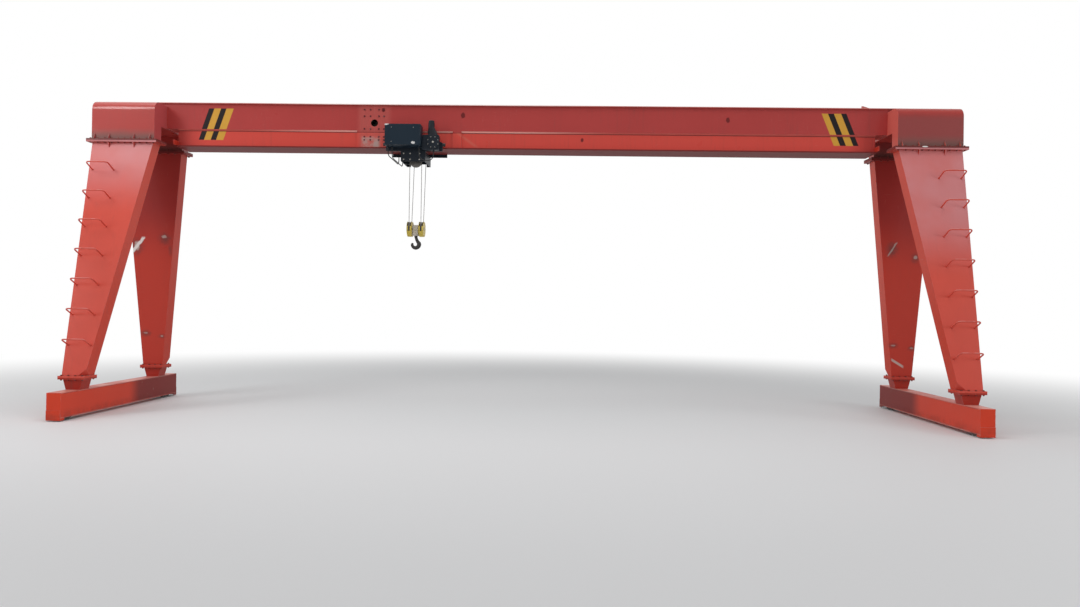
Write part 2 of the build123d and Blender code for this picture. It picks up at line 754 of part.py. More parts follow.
# Side plates of the trolley: a bar beside the runway and tongues down to the yoke
def trolley_side_plates():
    end = trolley_plate_end
    top = trolley_plate_top
    base = trolley_plate_base
    wheel = trolley_wheel_base / 2
    buffer_top = buffer_z + buffer_diameter / 2
    cabinet_x = (cabinet_right - cabinet_left) / 2
    bracket_z = top - bracket_height / 2
    with BuildPart() as plates:
        for row in rows.values():
            with BuildSketch(Plane(origin=(trolley_x, row * plate_y, 0), x_dir=(1, 0, 0), z_dir=(0, -1, 0))):
                with BuildLine():
                    Polyline(
                        (-yoke_left, yoke_bottom),
                        (yoke_right, yoke_bottom),
                        (yoke_right, base),
                        (end, base),
                        (end, buffer_top),
                        (wheel, top),
                        (-wheel, top),
                        (-end, buffer_top),
                        (-end, base),
                        (-yoke_left, base),
                        close=True,
                    )
                make_face()
                with Locations((-wheel, trolley_axle_z), (wheel, trolley_axle_z)):
                    Circle(trolley_axle / 2, mode=Mode.SUBTRACT)
            extrude(amount=-row * trolley_plate)
        window_width = yoke_left + yoke_right - 2 * rear_tongue
        window_height = runway_base + rope_window - yoke_bottom
        window_x = trolley_x + (yoke_right - yoke_left) / 2
        with Locations((window_x, plate_y + trolley_plate / 2, yoke_bottom + window_height / 2)):
            Box(window_width, trolley_plate, window_height, mode=Mode.SUBTRACT)
        for way in (-1, 1):
            for row in rows.values():
                x = trolley_x + way * (trolley_plate_end + buffer_plate / 2)
                with Locations((x, row * (plate_y + trolley_plate / 2), buffer_z)):
                    Box(buffer_plate, buffer_diameter, buffer_diameter)
            x = trolley_x + cabinet_x + way * bracket_offset
            with Locations((x, -plate_outer_y - cabinet_gap / 2, bracket_z)):
                Box(bracket_length, cabinet_gap, bracket_height)
    return plates.part


# Trolley wheels with their axles
def trolley_wheels():
    tread = trolley_wheel_diameter / 2
    rim = tread + trolley_wheel_flange
    axle = trolley_axle / 2
    with BuildPart() as wheels:
        for row in rows.values():
            for x in (trolley_x - trolley_wheel_base / 2, trolley_x + trolley_wheel_base / 2):
                with BuildSketch(Plane(origin=(x, 0, trolley_axle_z), x_dir=(0, row, 0), z_dir=(1, 0, 0))):
                    with BuildLine():
                        Polyline(
                            (wheel_inner_y, 0),
                            (wheel_inner_y, row * tread),
                            (wheel_edge_y, row * tread),
                            (wheel_edge_y, row * rim),
                            (wheel_outer_y, row * rim),
                            (wheel_outer_y, row * axle),
                            (plate_outer_y, row * axle),
                            (plate_outer_y, 0),
                            close=True,
                        )
                    make_face()
                revolve(axis=Axis((x, 0, trolley_axle_z), (0, 1, 0)))
    return wheels.part


# Rubber buffers on the ends of the side plates, level with the runway's stops
def trolley_buffers():
    with BuildPart() as buffers:
        for way in (-1, 1):
            with BuildSketch(Plane.YZ.offset(trolley_x + way * (buffer_reach - buffer_pad))):
                for row in rows.values():
                    with Locations((row * (plate_y + trolley_plate / 2), buffer_z)):
                        Circle(buffer_diameter / 2)
            extrude(amount=way * buffer_pad)
    return buffers.part


# Yoke that joins the side plates below the runway and holds the return sheave
def trolley_yoke():
    width = yoke_left + yoke_right
    middle = trolley_x + (yoke_right - yoke_left) / 2
    mid_z = (yoke_top + yoke_bottom) / 2
    roof_depth = plate_y + yoke_roof_back
    with BuildPart() as yoke:
        for x in (trolley_x - yoke_left + yoke_plate / 2, trolley_x + yoke_right - yoke_plate / 2):
            with Locations((x, 0, mid_z)):
                Box(yoke_plate, 2 * plate_y, yoke_height)
        with Locations((middle, yoke_roof_back - roof_depth / 2, yoke_top - yoke_plate / 2)):
            Box(width, roof_depth, yoke_plate)
        with Locations((middle, yoke_roof_back - yoke_plate / 2, mid_z)):
            Box(width, yoke_plate, yoke_height)
        with BuildSketch(Plane.XZ.offset(-yoke_roof_back)):
            with Locations((trolley_x, return_axis_z)):
                Circle(return_sheave_pin / 2)
        extrude(amount=roof_depth)
    return yoke.part


# Rope sheave with a round groove, a thin web and a hub, turned about the given axis
def sheave(plane, axis, groove_radius, bore):
    half = sheave_width / 2
    web = sheave_web / 2
    hub = sheave_hub_diameter / 2
    rim = groove_radius + sheave_rim
    base = groove_radius - sheave_rim
    mouth = groove_radius + rope_groove
    with BuildPart() as wheel:
        with BuildSketch(plane):
            with BuildLine():
                Polyline(
                    (-rope_groove, mouth),
                    (-half + sheave_lip, rim),
                    (-half, rim),
                    (-half, base),
                    (-web, base),
                    (-web, hub),
                    (-half, hub),
                    (-half, bore),
                    (half, bore),
                    (half, hub),
                    (web, hub),
                    (web, base),
                    (half, base),
                    (half, rim),
                    (half - sheave_lip, rim),
                    (rope_groove, mouth),
                )
                ThreePointArc((rope_groove, mouth), (0, groove_radius), (-rope_groove, mouth))
            make_face()
        revolve(axis=axis)
    return wheel.part


# Sheave that the rope turns over in the yoke
def return_sheave():
    plane = Plane(origin=(trolley_x, -rope_y, return_axis_z), x_dir=(0, 1, 0), z_dir=(1, 0, 0))
    axis = Axis((trolley_x, -rope_y, return_axis_z), (0, 1, 0))
    groove_radius = return_radius - rope_diameter / 2
    return sheave(plane, axis, groove_radius, return_sheave_pin / 2 + pin_clearance)


# Rope where it turns over the return sheave
def return_rope():
    with BuildPart() as bend:
        upright = Plane(origin=(trolley_x, -rope_y, return_axis_z), x_dir=(1, 0, 0), z_dir=(0, -1, 0))
        with BuildLine(upright) as path:
            ThreePointArc((-return_radius, 0), (0, return_radius), (return_radius, 0))
        with BuildSketch(Plane(origin=path.line @ 0, z_dir=path.line % 0)):
            Circle(rope_diameter / 2)
        sweep(path=path.line)
    return bend.part


# Electric cabinet with its screwed cover and the glands under it
def hoist_cabinet():
    x = trolley_x + (cabinet_right - cabinet_left) / 2
    z = cabinet_base + cabinet_height / 2
    body_depth = cabinet_depth - cabinet_cover
    width = cabinet_left + cabinet_right
    with BuildPart() as cabinet:
        with BuildSketch(Plane.XZ.offset(cabinet_back)):
            with Locations((x, z)):
                RectangleRounded(width, cabinet_height, cabinet_corner)
        extrude(amount=body_depth)
        with BuildSketch(Plane.XZ.offset(cabinet_back + body_depth)):
            with Locations((x, z)):
                RectangleRounded(
                    width - 2 * cabinet_cover_margin, cabinet_height - 2 * cabinet_cover_margin, cabinet_corner
                )
        extrude(amount=cabinet_cover)
        with BuildSketch(Plane.XY.offset(cabinet_base)):
            with Locations(*[(gland_x, cable_y) for gland_x in (*motor_cable_x, drive_cable_x)]):
                Circle(gland_diameter / 2)
        extrude(amount=-gland_length)
    return cabinet.part


# Worm gear case on the front side plate, turning a trolley wheel
def trolley_drive_case():
    left = trolley_x + cabinet_right + crab_case_gap
    right = trolley_x + crab_case_right
    with BuildPart() as case:
        with BuildSketch(Plane.XZ.offset(plate_outer_y)):
            with Locations(((left + right) / 2, (crab_case_base + crab_case_top) / 2)):
                RectangleRounded(right - left, crab_case_top - crab_case_base, crab_case_corner)
        extrude(amount=crab_case_depth)
        with BuildSketch(Plane.XZ.offset(plate_outer_y + crab_case_depth)):
            with Locations((drive_x, trolley_axle_z)):
                Circle(crab_cover_diameter / 2)
        extrude(amount=crab_cover)
        fillet(case.faces().sort_by(Axis.Y)[0].edges(), radius=crab_cover_round)
        with BuildSketch(Plane.XY.offset(crab_case_base)):
            with Locations((drive_x, crab_middle_y)):
                Circle(gland_diameter / 2)
        extrude(amount=-gland_length)
    return case.part


# Upright motor on the gear case: bell housing, body and fan cowl
def trolley_drive_motor():
    x = drive_x - crab_motor_offset
    bell_top = crab_case_top + crab_bell_height
    top = runway_base + crab_motor_top
    with BuildPart() as motor:
        with BuildSketch(Plane.XY.offset(crab_case_top)):
            with Locations((x + (crab_bell_right - crab_bell_left) / 2, crab_middle_y)):
                RectangleRounded(crab_bell_left + crab_bell_right, crab_case_depth, crab_bell_corner)
        with BuildSketch(Plane.XY.offset(bell_top)):
            with Locations((x, crab_middle_y)):
                Circle(crab_motor_diameter / 2)
        loft()
        with BuildSketch(Plane.XY.offset(bell_top)):
            with Locations((x, crab_middle_y)):
                Circle(crab_motor_diameter / 2)
        extrude(amount=top - crab_fan_height - bell_top)
        with BuildSketch(Plane.XY.offset(top - crab_fan_height)):
            with Locations((x, crab_middle_y)):
                Circle(crab_motor_diameter / 2 - crab_fan_step)
        extrude(amount=crab_fan_height)
        chamfer(motor.faces().sort_by(Axis.Z)[-1].edges(), length=crab_fan_step)
    return motor.part


# Cables from the cabinet, two under the runway to the hoist motor and one to the trolley's drive
def hoist_cables():
    cabinet_end = cabinet_base - gland_length
    motor_end = drum_z - hoist_motor_diameter / 2 - gland_length
    drive_end = crab_case_base - gland_length
    routes = []
    for number, x in enumerate(motor_cable_x):
        level = cable_level - number * cable_step
        corners = [(x, cable_y, level), (x, drum_y, level)]
        routes.append([(x, cable_y, cabinet_end), *corners, (x, drum_y, motor_end)])
    level = cable_level - 2 * cable_step
    routes.append([
        (drive_cable_x, cable_y, cabinet_end),
        (drive_cable_x, cable_y, level),
        (drive_x, crab_middle_y, level),
        (drive_x, crab_middle_y, drive_end),
    ])
    with BuildPart() as cables:
        for points in routes:
            with BuildLine() as path:
                FilletPolyline(*points, radius=cable_bend)
            with BuildSketch(Plane(origin=path.line @ 0, z_dir=path.line % 0)):
                Circle(cable_diameter / 2)
            sweep(path=path.line)
    return cables.part


# Rope drum with its two flanges and shaft
def rope_drum():
    radius = drum_diameter / 2
    flange = drum_flange_diameter / 2
    half = drum_length / 2
    end = support_x + drum_support
    shaft = drum_shaft / 2
    plane = Plane(origin=(trolley_x, drum_y, drum_z), x_dir=(1, 0, 0), z_dir=(0, -1, 0))
    with BuildPart() as drum:
        with BuildSketch(plane):
            with BuildLine():
                Polyline(
                    (-end, 0),
                    (-end, shaft),
                    (-half, shaft),
                    (-half, flange),
                    (-half + drum_flange, flange),
                    (-half + drum_flange, radius),
                    (half - drum_flange, radius),
                    (half - drum_flange, flange),
                    (half, flange),
                    (half, shaft),
                    (end, shaft),
                    (end, 0),
                    close=True,
                )
            make_face()
        revolve(axis=Axis((trolley_x, drum_y, drum_z), (1, 0, 0)))
    return drum.part


# Plates that carry the drum on the rear side plate
def drum_supports():
    back = drum_y + drum_support_back
    with BuildPart() as supports:
        for way in (-1, 1):
            with BuildSketch(Plane.YZ.offset(trolley_x + way * support_x)):
                with BuildLine():
                    Polyline(
                        (plate_outer_y, runway_top),
                        (drum_y, drum_z - drum_flange_diameter / 2),
                        (back, drum_z - drum_shaft),
                        (back, drum_z + drum_shaft),
                        (drum_y, drum_z + drum_flange_diameter / 2),
                        (plate_outer_y, trolley_plate_top),
                        close=True,
                    )
                make_face()
                with Locations((drum_y, drum_z)):
                    Circle(drum_shaft / 2 + pin_clearance, mode=Mode.SUBTRACT)
            extrude(amount=way * drum_support)
    return supports.part


# Gearbox at the right end of the drum
def hoist_gearbox():
    with BuildPart() as case:
        with BuildSketch(Plane.YZ.offset(trolley_x + support_x + drum_support)):
            with Locations((drum_y, drum_z)):
                RectangleRounded(hoist_case_depth, hoist_case_height, hoist_case_corner)
        extrude(amount=hoist_case_width)
        fillet(case.faces().sort_by(Axis.X)[-1].edges(), radius=hoist_case_round)
    return case.part


# Hoist motor with cooling fins along its length
def hoist_motor():
    start = trolley_x - support_x - drum_support
    core = hoist_motor_diameter / 2 - motor_fin_depth
    with BuildPart() as motor:
        with BuildSketch(Plane.YZ.offset(start)):
            with Locations((drum_y, drum_z)):
                Circle(core)
                with PolarLocations(core, motor_fin_count):
                    Rectangle(2 * motor_fin_depth, motor_fin)
        extrude(amount=-hoist_motor_length)
        with BuildSketch(Plane.XY.offset(drum_z - hoist_motor_diameter / 2 - gland_length)):
            with Locations(*[(gland_x, drum_y) for gland_x in motor_cable_x]):
                Circle(gland_diameter / 2)
        extrude(amount=gland_length + motor_fin_depth + motor_fin)
    return motor.part


# Round covers of the block's sheaves, open on top and slotted where the ropes come in
def block_covers():
    inner = sheave_diameter / 2 + sheave_rim + cover_gap
    outer = inner + cover_wall
    with BuildPart() as covers:
        for way in (-1, 1):
            middle = trolley_x + way * sheave_spacing / 2
            start = middle - cover_width / 2
            with BuildSketch(Plane.YZ.offset(start)):
                with Locations((0, sheave_axis_z)):
                    Circle(outer)
                    Circle(block_pin / 2, mode=Mode.SUBTRACT)
                with Locations((0, sheave_axis_z + cover_top + outer)):
                    Rectangle(2 * outer, 2 * outer, mode=Mode.SUBTRACT)
            extrude(amount=cover_width)
            with BuildSketch(Plane.YZ.offset(start + cover_wall)):
                with Locations((0, sheave_axis_z)):
                    Circle(inner)
                with Locations((0, sheave_axis_z + outer)):
                    Rectangle(2 * inner, 2 * outer)
            extrude(amount=cover_width - 2 * cover_wall, mode=Mode.SUBTRACT)
            with Locations((middle, 0, sheave_axis_z - cover_slot_base + outer)):
                Box(cover_slot, 2 * outer, 2 * outer, mode=Mode.SUBTRACT)
    return covers.part


# The block's two sheaves
def block_sheaves():
    with BuildPart() as sheaves:
        for way in (-1, 1):
            x = trolley_x + way * sheave_spacing / 2
            plane = Plane(origin=(x, 0, sheave_axis_z), x_dir=(1, 0, 0), z_dir=(0, -1, 0))
            axis = Axis((x, 0, sheave_axis_z), (1, 0, 0))
            add(sheave(plane, axis, sheave_diameter / 2, block_pin / 2 + pin_clearance))
    return sheaves.part


# Rope where it turns under the block's sheaves
def block_ropes():
    with BuildPart() as bends:
        for way in (-1, 1):
            x = trolley_x + way * sheave_spacing / 2
            with BuildLine() as path:
                ThreePointArc(
                    (x, -rope_y, sheave_axis_z), (x, 0, sheave_axis_z - rope_y), (x, fall_low_y, fall_low_z)
                )
            with BuildSketch(Plane(origin=path.line @ 0, z_dir=path.line % 0)):
                Circle(rope_diameter / 2)
            sweep(path=path.line)
    return bends.part


# Axle through both covers and the crosshead
def block_axle():
    half = sheave_spacing / 2 + cover_width / 2 + block_pin_end
    with BuildPart() as pin:
        with BuildSketch(Plane.YZ.offset(trolley_x - half)):
            with Locations((0, sheave_axis_z)):
                Circle(block_pin / 2)
        extrude(amount=2 * half)
    return pin.part


# Crosshead: a box on the axle, open on top, with a base that the hook turns in
def block_crosshead():
    height = crosshead_top + crosshead_bottom
    opening = height - crosshead_base
    well_width = crosshead_width - 2 * crosshead_cheek
    well_depth = crosshead_depth - 2 * crosshead_cheek
    with BuildPart() as crosshead:
        with Locations((trolley_x, 0, crosshead_base_z + height / 2)):
            Box(crosshead_width, crosshead_depth, height)
        fillet(crosshead.edges().filter_by(Axis.X), radius=crosshead_round)
        with Locations((trolley_x, 0, crosshead_base_z + crosshead_base + opening / 2)):
            Box(well_width, well_depth, opening, mode=Mode.SUBTRACT)
        with BuildSketch(Plane.YZ.offset(trolley_x - crosshead_width)):
            with Locations((0, sheave_axis_z)):
                Circle(block_pin / 2)
        extrude(amount=2 * crosshead_width, mode=Mode.SUBTRACT)
        with BuildSketch(Plane.XY.offset(crosshead_base_z)):
            with Locations((trolley_x, 0)):
                Circle(shank_diameter / 2 + pin_clearance)
        extrude(amount=crosshead_base, mode=Mode.SUBTRACT)
    return crosshead.part


# Forged hook: a collar and neck, then one skin through oval sections round the bowl to the tip
def lifting_hook():
    centre_x = trolley_x - hook_bowl_shift
    centre_z = hook_bottom_z + hook_outer_radius
    nut_z = crosshead_base_z + crosshead_base + pin_clearance
    neck_z = crosshead_base_z - hook_neck
    collar_z = crosshead_base_z - hook_collar_gap
    neck = (0.0, trolley_x, neck_z, hook_neck_diameter / 2, hook_neck_diameter / hook_thickness)
    waist_place = (trolley_x + hook_waist_shift, crosshead_base_z - hook_waist_drop)
    waist = (hook_waist_turn, *waist_place, hook_waist_width / 2, 1.0)
    bend = []
    for angle, width, thickness in hook_sections:
        across, up = math.cos(math.radians(angle)), math.sin(math.radians(angle))
        reach = hook_back * across + math.sqrt(hook_outer_radius**2 - (hook_back * up) ** 2)
        half = (reach - hook_bowl_radius) * width / 2
        middle = hook_bowl_radius + half
        bend.append((angle, centre_x + middle * across, centre_z + middle * up, half, thickness))
    with BuildPart() as hook:
        for stretch, straight in (([neck, waist, bend[0]], True), (bend, False)):
            for angle, x, z, half, thickness in stretch:
                turn = math.radians(angle)
                out = (math.cos(turn), 0, math.sin(turn))
                along = (math.sin(turn), 0, -math.cos(turn))
                with BuildSketch(Plane(origin=(x, 0, z), x_dir=out, z_dir=along)):
                    Ellipse(half, hook_thickness / 2 * thickness)
            loft(ruled=straight)
        with BuildSketch(Plane.XY.offset(neck_z)):
            with Locations((trolley_x, 0)):
                Circle(hook_collar_diameter / 2)
        extrude(amount=collar_z - neck_z)
        with BuildSketch(Plane.XY.offset(collar_z)):
            with Locations((trolley_x, 0)):
                Circle(shank_diameter / 2)
        extrude(amount=nut_z + hook_nut_height - collar_z)
        with BuildSketch(Plane.XY.offset(nut_z)):
            with Locations((trolley_x, 0)):
                Circle(hook_nut_diameter / 2)
        extrude(amount=hook_nut_height)
    return hook.part


# Front falls, from the return sheave down to the block
def front_falls():
    with BuildPart() as falls:
        with BuildSketch(Plane.XY.offset(sheave_axis_z)):
            for way in (-1, 1):
                with Locations((trolley_x + way * return_radius, -rope_y)):
                    Circle(rope_diameter / 2)
        extrude(amount=return_axis_z - sheave_axis_z)
    return falls.part


# Rear falls, from the drum down to the block
def rear_falls():
    with BuildPart() as falls:
        for way in (-1, 1):
            x = trolley_x + way * sheave_spacing / 2
            with BuildLine() as path:
                Line((x, fall_low_y, fall_low_z), (x, fall_high_y, fall_high_z))
            with BuildSketch(Plane(origin=path.line @ 0, z_dir=path.line % 0)):
                Circle(rope_diameter / 2)
            sweep(path=path.line)
    return falls.part


for side_name, side in sides.items():
    save(end_carriage(side), f"end_carriage_{side_name}")
    save(leg_seats(side), f"leg_seats_{side_name}")
    save(step_irons(side), f"step_irons_{side_name}")
    save(saddle(side), f"saddle_{side_name}")
    for row_name, row in rows.items():
        save(travel_wheel(side, row), f"travel_wheel_{row_name}_{side_name}")
        save(leg(side, row), f"leg_{row_name}_{side_name}")

save(
    girder_section(-girder_end_x, splice_x, -runway_end_x, splice_x, [(-runway_end_x, splice_x - splice_half)]),
    "girder_left",
)
save(girder_right(), "girder_right")
save(splice_plates(), "girder_splice_plates")
save(bearing_caps(), "bearing_caps")
save(rail_sweepers(), "rail_sweepers")
save(travel_drives(), "travel_drives")
save(runway_stops(), "runway_stops")
save(trolley_side_plates(), "trolley_side_plates")
save(trolley_wheels(), "trolley_wheels")
save(trolley_buffers(), "trolley_buffers")
save(trolley_yoke(), "trolley_yoke")
save(return_sheave(), "return_sheave")
save(return_rope(), "return_rope")
save(hoist_cabinet(), "hoist_cabinet")
save(trolley_drive_case(), "trolley_drive_case")
save(trolley_drive_motor(), "trolley_drive_motor")
save(hoist_cables(), "hoist_cables")
save(rope_drum(), "rope_drum")
save(drum_supports(), "drum_supports")
save(hoist_gearbox(), "hoist_gearbox")
save(hoist_motor(), "hoist_motor")
save(block_covers(), "block_covers")
save(block_sheaves(), "block_sheaves")
save(block_ropes(), "block_ropes")
save(block_axle(), "block_axle")
save(block_crosshead(), "block_crosshead")
save(lifting_hook(), "lifting_hook")
save(front_falls(), "rope_falls_front")
save(rear_falls(), "rope_falls_rear")
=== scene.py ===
import bpy
import math
from mathutils import Matrix, Vector


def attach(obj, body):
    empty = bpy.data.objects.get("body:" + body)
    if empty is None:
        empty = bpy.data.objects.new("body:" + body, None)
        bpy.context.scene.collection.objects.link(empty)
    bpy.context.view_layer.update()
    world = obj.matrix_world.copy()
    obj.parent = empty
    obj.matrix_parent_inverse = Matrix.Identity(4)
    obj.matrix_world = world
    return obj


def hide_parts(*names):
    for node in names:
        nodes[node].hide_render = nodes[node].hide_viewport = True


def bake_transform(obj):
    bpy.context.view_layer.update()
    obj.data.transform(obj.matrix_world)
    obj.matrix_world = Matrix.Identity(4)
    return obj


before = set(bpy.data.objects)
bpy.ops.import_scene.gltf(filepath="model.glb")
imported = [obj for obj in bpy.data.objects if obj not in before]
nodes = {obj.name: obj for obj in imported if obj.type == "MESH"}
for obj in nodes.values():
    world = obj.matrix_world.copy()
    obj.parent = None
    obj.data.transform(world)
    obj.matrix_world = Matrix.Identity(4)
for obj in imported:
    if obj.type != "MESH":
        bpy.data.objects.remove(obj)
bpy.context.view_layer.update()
print("frame loaded:", len(nodes), "nodes")


def feed(tree, socket, value):  # a link from another socket, or a plain value
    if isinstance(value, bpy.types.NodeSocket):
        tree.links.new(value, socket)
    else:
        socket.default_value = (*value, 1.0) if socket.type == "RGBA" else value


def addNode(tree, kind, inputs=None, **settings):
    node = tree.nodes.new(kind)
    for name, value in settings.items():
        setattr(node, name, value)
    for name, value in (inputs or {}).items():
        feed(tree, node.inputs[name], value)
    return node


def calc(tree, operation, *values, clamp=False):
    return addNode(tree, "ShaderNodeMath", dict(enumerate(values)), operation=operation, use_clamp=clamp).outputs[0]


def times(tree, *values):
    result = values[0]
    for value in values[1:]:
        result = calc(tree, "MULTIPLY", result, value)
    return result


def plus(tree, first, second):
    return calc(tree, "ADD", first, second)


def minus(tree, first, second):
    return calc(tree, "SUBTRACT", first, second)


def unsigned(tree, value):
    return calc(tree, "ABSOLUTE", value)


def vectorCalc(tree, operation, *values, out=0):
    return addNode(tree, "ShaderNodeVectorMath", dict(enumerate(values)), operation=operation).outputs[out]


def split(tree, vector):  # its three parts
    return addNode(tree, "ShaderNodeSeparateXYZ", {0: vector}).outputs


def normalOf(tree):
    return addNode(tree, "ShaderNodeNewGeometry").outputs["Normal"]


def step(tree, value, low, high, start=0.0, end=1.0):  # soft step from start to end
    inputs = {"Value": value, "From Min": low, "From Max": high, "To Min": start, "To Max": end}
    return addNode(tree, "ShaderNodeMapRange", inputs, interpolation_type="SMOOTHSTEP").outputs[0]


def bothWays(tree, value, low, high):  # the same step on either side of zero
    return step(tree, unsigned(tree, value), low, high)


def band(tree, value, low, high, soft):
    return times(tree, step(tree, value, low - soft, low + soft), step(tree, value, high + soft, high - soft))


def mixColour(tree, mask, first, second):
    return addNode(tree, "ShaderNodeMix", {0: mask, 6: first, 7: second}, data_type="RGBA").outputs[2]


def mixValue(tree, mask, first, second):
    return addNode(tree, "ShaderNodeMix", {0: mask, 2: first, 3: second}, data_type="FLOAT").outputs[0]


def noise(tree, vector, scale, detail, roughness=0.55):
    inputs = {"Vector": vector, "Scale": scale, "Detail": detail, "Roughness": roughness}
    return addNode(tree, "ShaderNodeTexNoise", inputs).outputs["Fac"]


def stretch(tree, vector, scale, turn=(0.0, 0.0, 0.0)):
    return addNode(tree, "ShaderNodeMapping", {"Vector": vector, "Scale": scale, "Rotation": turn}).outputs[0]


def newTree(kind, name, inputs, outputs):
    tree = bpy.data.node_groups.new(name, kind)
    for way, sockets in (("INPUT", inputs), ("OUTPUT", outputs)):
        for label, socketKind, *value in sockets:
            socket = tree.interface.new_socket(name=label, in_out=way, socket_type="NodeSocket" + socketKind)
            if value:
                socket.default_value = value[0]
    return tree, tree.nodes.new("NodeGroupInput").outputs, tree.nodes.new("NodeGroupOutput").inputs


def newGroup(name, inputs, outputs=(("Mask", "Float"),)):  # every shader group reads a place
    return newTree("ShaderNodeTree", name, [("Vector", "Vector"), *inputs], outputs)


def rubGroup():  # paint rubbed off along edges: the rounded normal departs from the true one there
    tree, entry, leave = newGroup("edgeRub", [("Width", "Float", 0.006), ("Amount", "Float", 0.5)])
    rounded = addNode(tree, "ShaderNodeBevel", {"Radius": entry["Width"]}, samples=4).outputs[0]
    agree = vectorCalc(tree, "DOT_PRODUCT", rounded, normalOf(tree), out="Value")
    rubbed = times(tree, step(tree, agree, 0.99, 0.86), entry["Amount"])
    patchy = step(tree, noise(tree, entry["Vector"], 9.0, 5.0, 0.7), 0.62, 0.4)
    feed(tree, leave["Mask"], calc(tree, "MULTIPLY", rubbed, minus(tree, 1.0, patchy), clamp=True))
    return tree


def dustGroup():  # dust that settles on faces that look up
    tree, entry, leave = newGroup("dustFall", [("Amount", "Float", 0.5)])
    upward = step(tree, split(tree, normalOf(tree))["Z"], 0.35, 0.95)
    drift = step(tree, noise(tree, entry["Vector"], 3.5, 6.0, 0.65), 0.25, 0.7, 0.55, 1.0)
    feed(tree, leave["Mask"], calc(tree, "MULTIPLY", times(tree, upward, drift), entry["Amount"], clamp=True))
    return tree


def grimeGroup():  # dirt that has run down, in patches
    tree, entry, leave = newGroup("grimeRuns", [("Scale", "Float", 6.0), ("Amount", "Float", 0.4)])
    runs = noise(tree, stretch(tree, entry["Vector"], (4.0, 4.0, 0.35)), entry["Scale"], 4.0, 0.6)
    blotch = noise(tree, entry["Vector"], times(tree, entry["Scale"], 0.28), 5.0, 0.62)
    both = times(tree, step(tree, runs, 0.48, 0.78), step(tree, blotch, 0.38, 0.66))
    feed(tree, leave["Mask"], calc(tree, "MULTIPLY", both, entry["Amount"], clamp=True))
    return tree


def scratchGroup():  # fine scratches in two directions
    tree, entry, leave = newGroup("fineScratches", [("Scale", "Float", 8.0), ("Amount", "Float", 0.5)])
    lines = []
    for turn, shape in (((0.3, 0.5, 0.2), (1.0, 1.0, 30.0)), ((0.1, -0.6, 0.9), (26.0, 1.0, 1.0))):
        turned = stretch(tree, entry["Vector"], shape, turn)
        lines.append(step(tree, noise(tree, turned, entry["Scale"], 2.0, 0.5), 0.69, 0.74))
    where = step(tree, noise(tree, entry["Vector"], 1.7, 2.0), 0.45, 0.62)
    marks = times(tree, calc(tree, "MAXIMUM", *lines), where)
    feed(tree, leave["Mask"], calc(tree, "MULTIPLY", marks, entry["Amount"], clamp=True))
    return tree


def filmGroup():  # shifts of tone, orange peel and slightly wavy plate
    tree, entry, leave = newGroup("paintFilm", [("Colour", "Color"), ("Shift", "Float", 0.12)],
                                  [("Colour", "Color"), ("Height", "Float")])
    broad = minus(tree, noise(tree, entry["Vector"], 1.1, 4.0, 0.6), 0.5)
    speck = minus(tree, noise(tree, entry["Vector"], 38.0, 3.0, 0.6), 0.5)
    change = times(tree, plus(tree, times(tree, broad, 1.6), times(tree, speck, 0.25)), entry["Shift"])
    brightness = plus(tree, change, 1.0)
    shifted = addNode(tree, "ShaderNodeHueSaturation", {"Value": brightness, "Color": entry["Colour"]})
    feed(tree, leave["Colour"], shifted.outputs[0])
    peel = times(tree, noise(tree, entry["Vector"], 260.0, 2.0), 0.004)
    wavy = times(tree, noise(tree, entry["Vector"], 2.6, 2.0), 0.35)
    feed(tree, leave["Height"], plus(tree, peel, wavy))
    return tree


def spotGroup():  # a ragged spot round a point
    tree, entry, leave = newGroup("raggedSpot", [("Centre", "Vector"), ("Size", "Vector"),
                                                 ("Ragged", "Float", 0.35), ("Core", "Float", 0.6)])
    away = vectorCalc(tree, "SUBTRACT", entry["Vector"], entry["Centre"])
    reach = vectorCalc(tree, "LENGTH", vectorCalc(tree, "DIVIDE", away, entry["Size"]), out="Value")
    rough = minus(tree, noise(tree, entry["Vector"], 22.0, 4.0, 0.65), 0.5)
    reach = plus(tree, reach, times(tree, rough, times(tree, entry["Ragged"], 2.0)))
    feed(tree, leave["Mask"], step(tree, reach, 1.0, entry["Core"]))
    return tree


edgeRub, dustFall, grimeRuns = rubGroup(), dustGroup(), grimeGroup()
fineScratches, paintFilm, raggedSpot = scratchGroup(), filmGroup(), spotGroup()


class Finish:  # what a material is made of so far
    coat = 0.0
    gloss = 0.5


def useGroup(finish, group, **inputs):
    return addNode(finish.tree, "ShaderNodeGroup", {"Vector": finish.place, **inputs}, node_tree=group).outputs


def maskOf(finish, group, **inputs):
    return useGroup(finish, group, **inputs)["Mask"]


def spot(finish, centre, size, ragged=0.35, core=0.6):
    return maskOf(finish, raggedSpot, Centre=centre, Size=size, Ragged=ragged, Core=core)


def patches(finish, scale, detail, low, high, roughness=0.55, start=0.0, end=1.0):
    return step(finish.tree, noise(finish.tree, finish.place, scale, detail, roughness), low, high, start, end)


def startFinish(name, colour, roughness, shift=0.12, metal=0.0):
    finish = Finish()
    finish.material = bpy.data.materials.new(name)
    finish.material.use_nodes = True
    tree = finish.tree = finish.material.node_tree
    tree.nodes.clear()
    finish.place = addNode(tree, "ShaderNodeTexCoord").outputs["Object"]
    finish.x, finish.y, finish.z = split(tree, finish.place)
    finish.faceX, finish.faceY, finish.faceZ = split(tree, normalOf(tree))
    film = useGroup(finish, paintFilm, Colour=colour, Shift=shift)
    finish.colour, finish.height = film["Colour"], film["Height"]
    finish.roughness = plus(tree, roughness - 0.06, times(tree, noise(tree, finish.place, 4.0, 4.0), 0.12))
    finish.metal = metal
    return finish


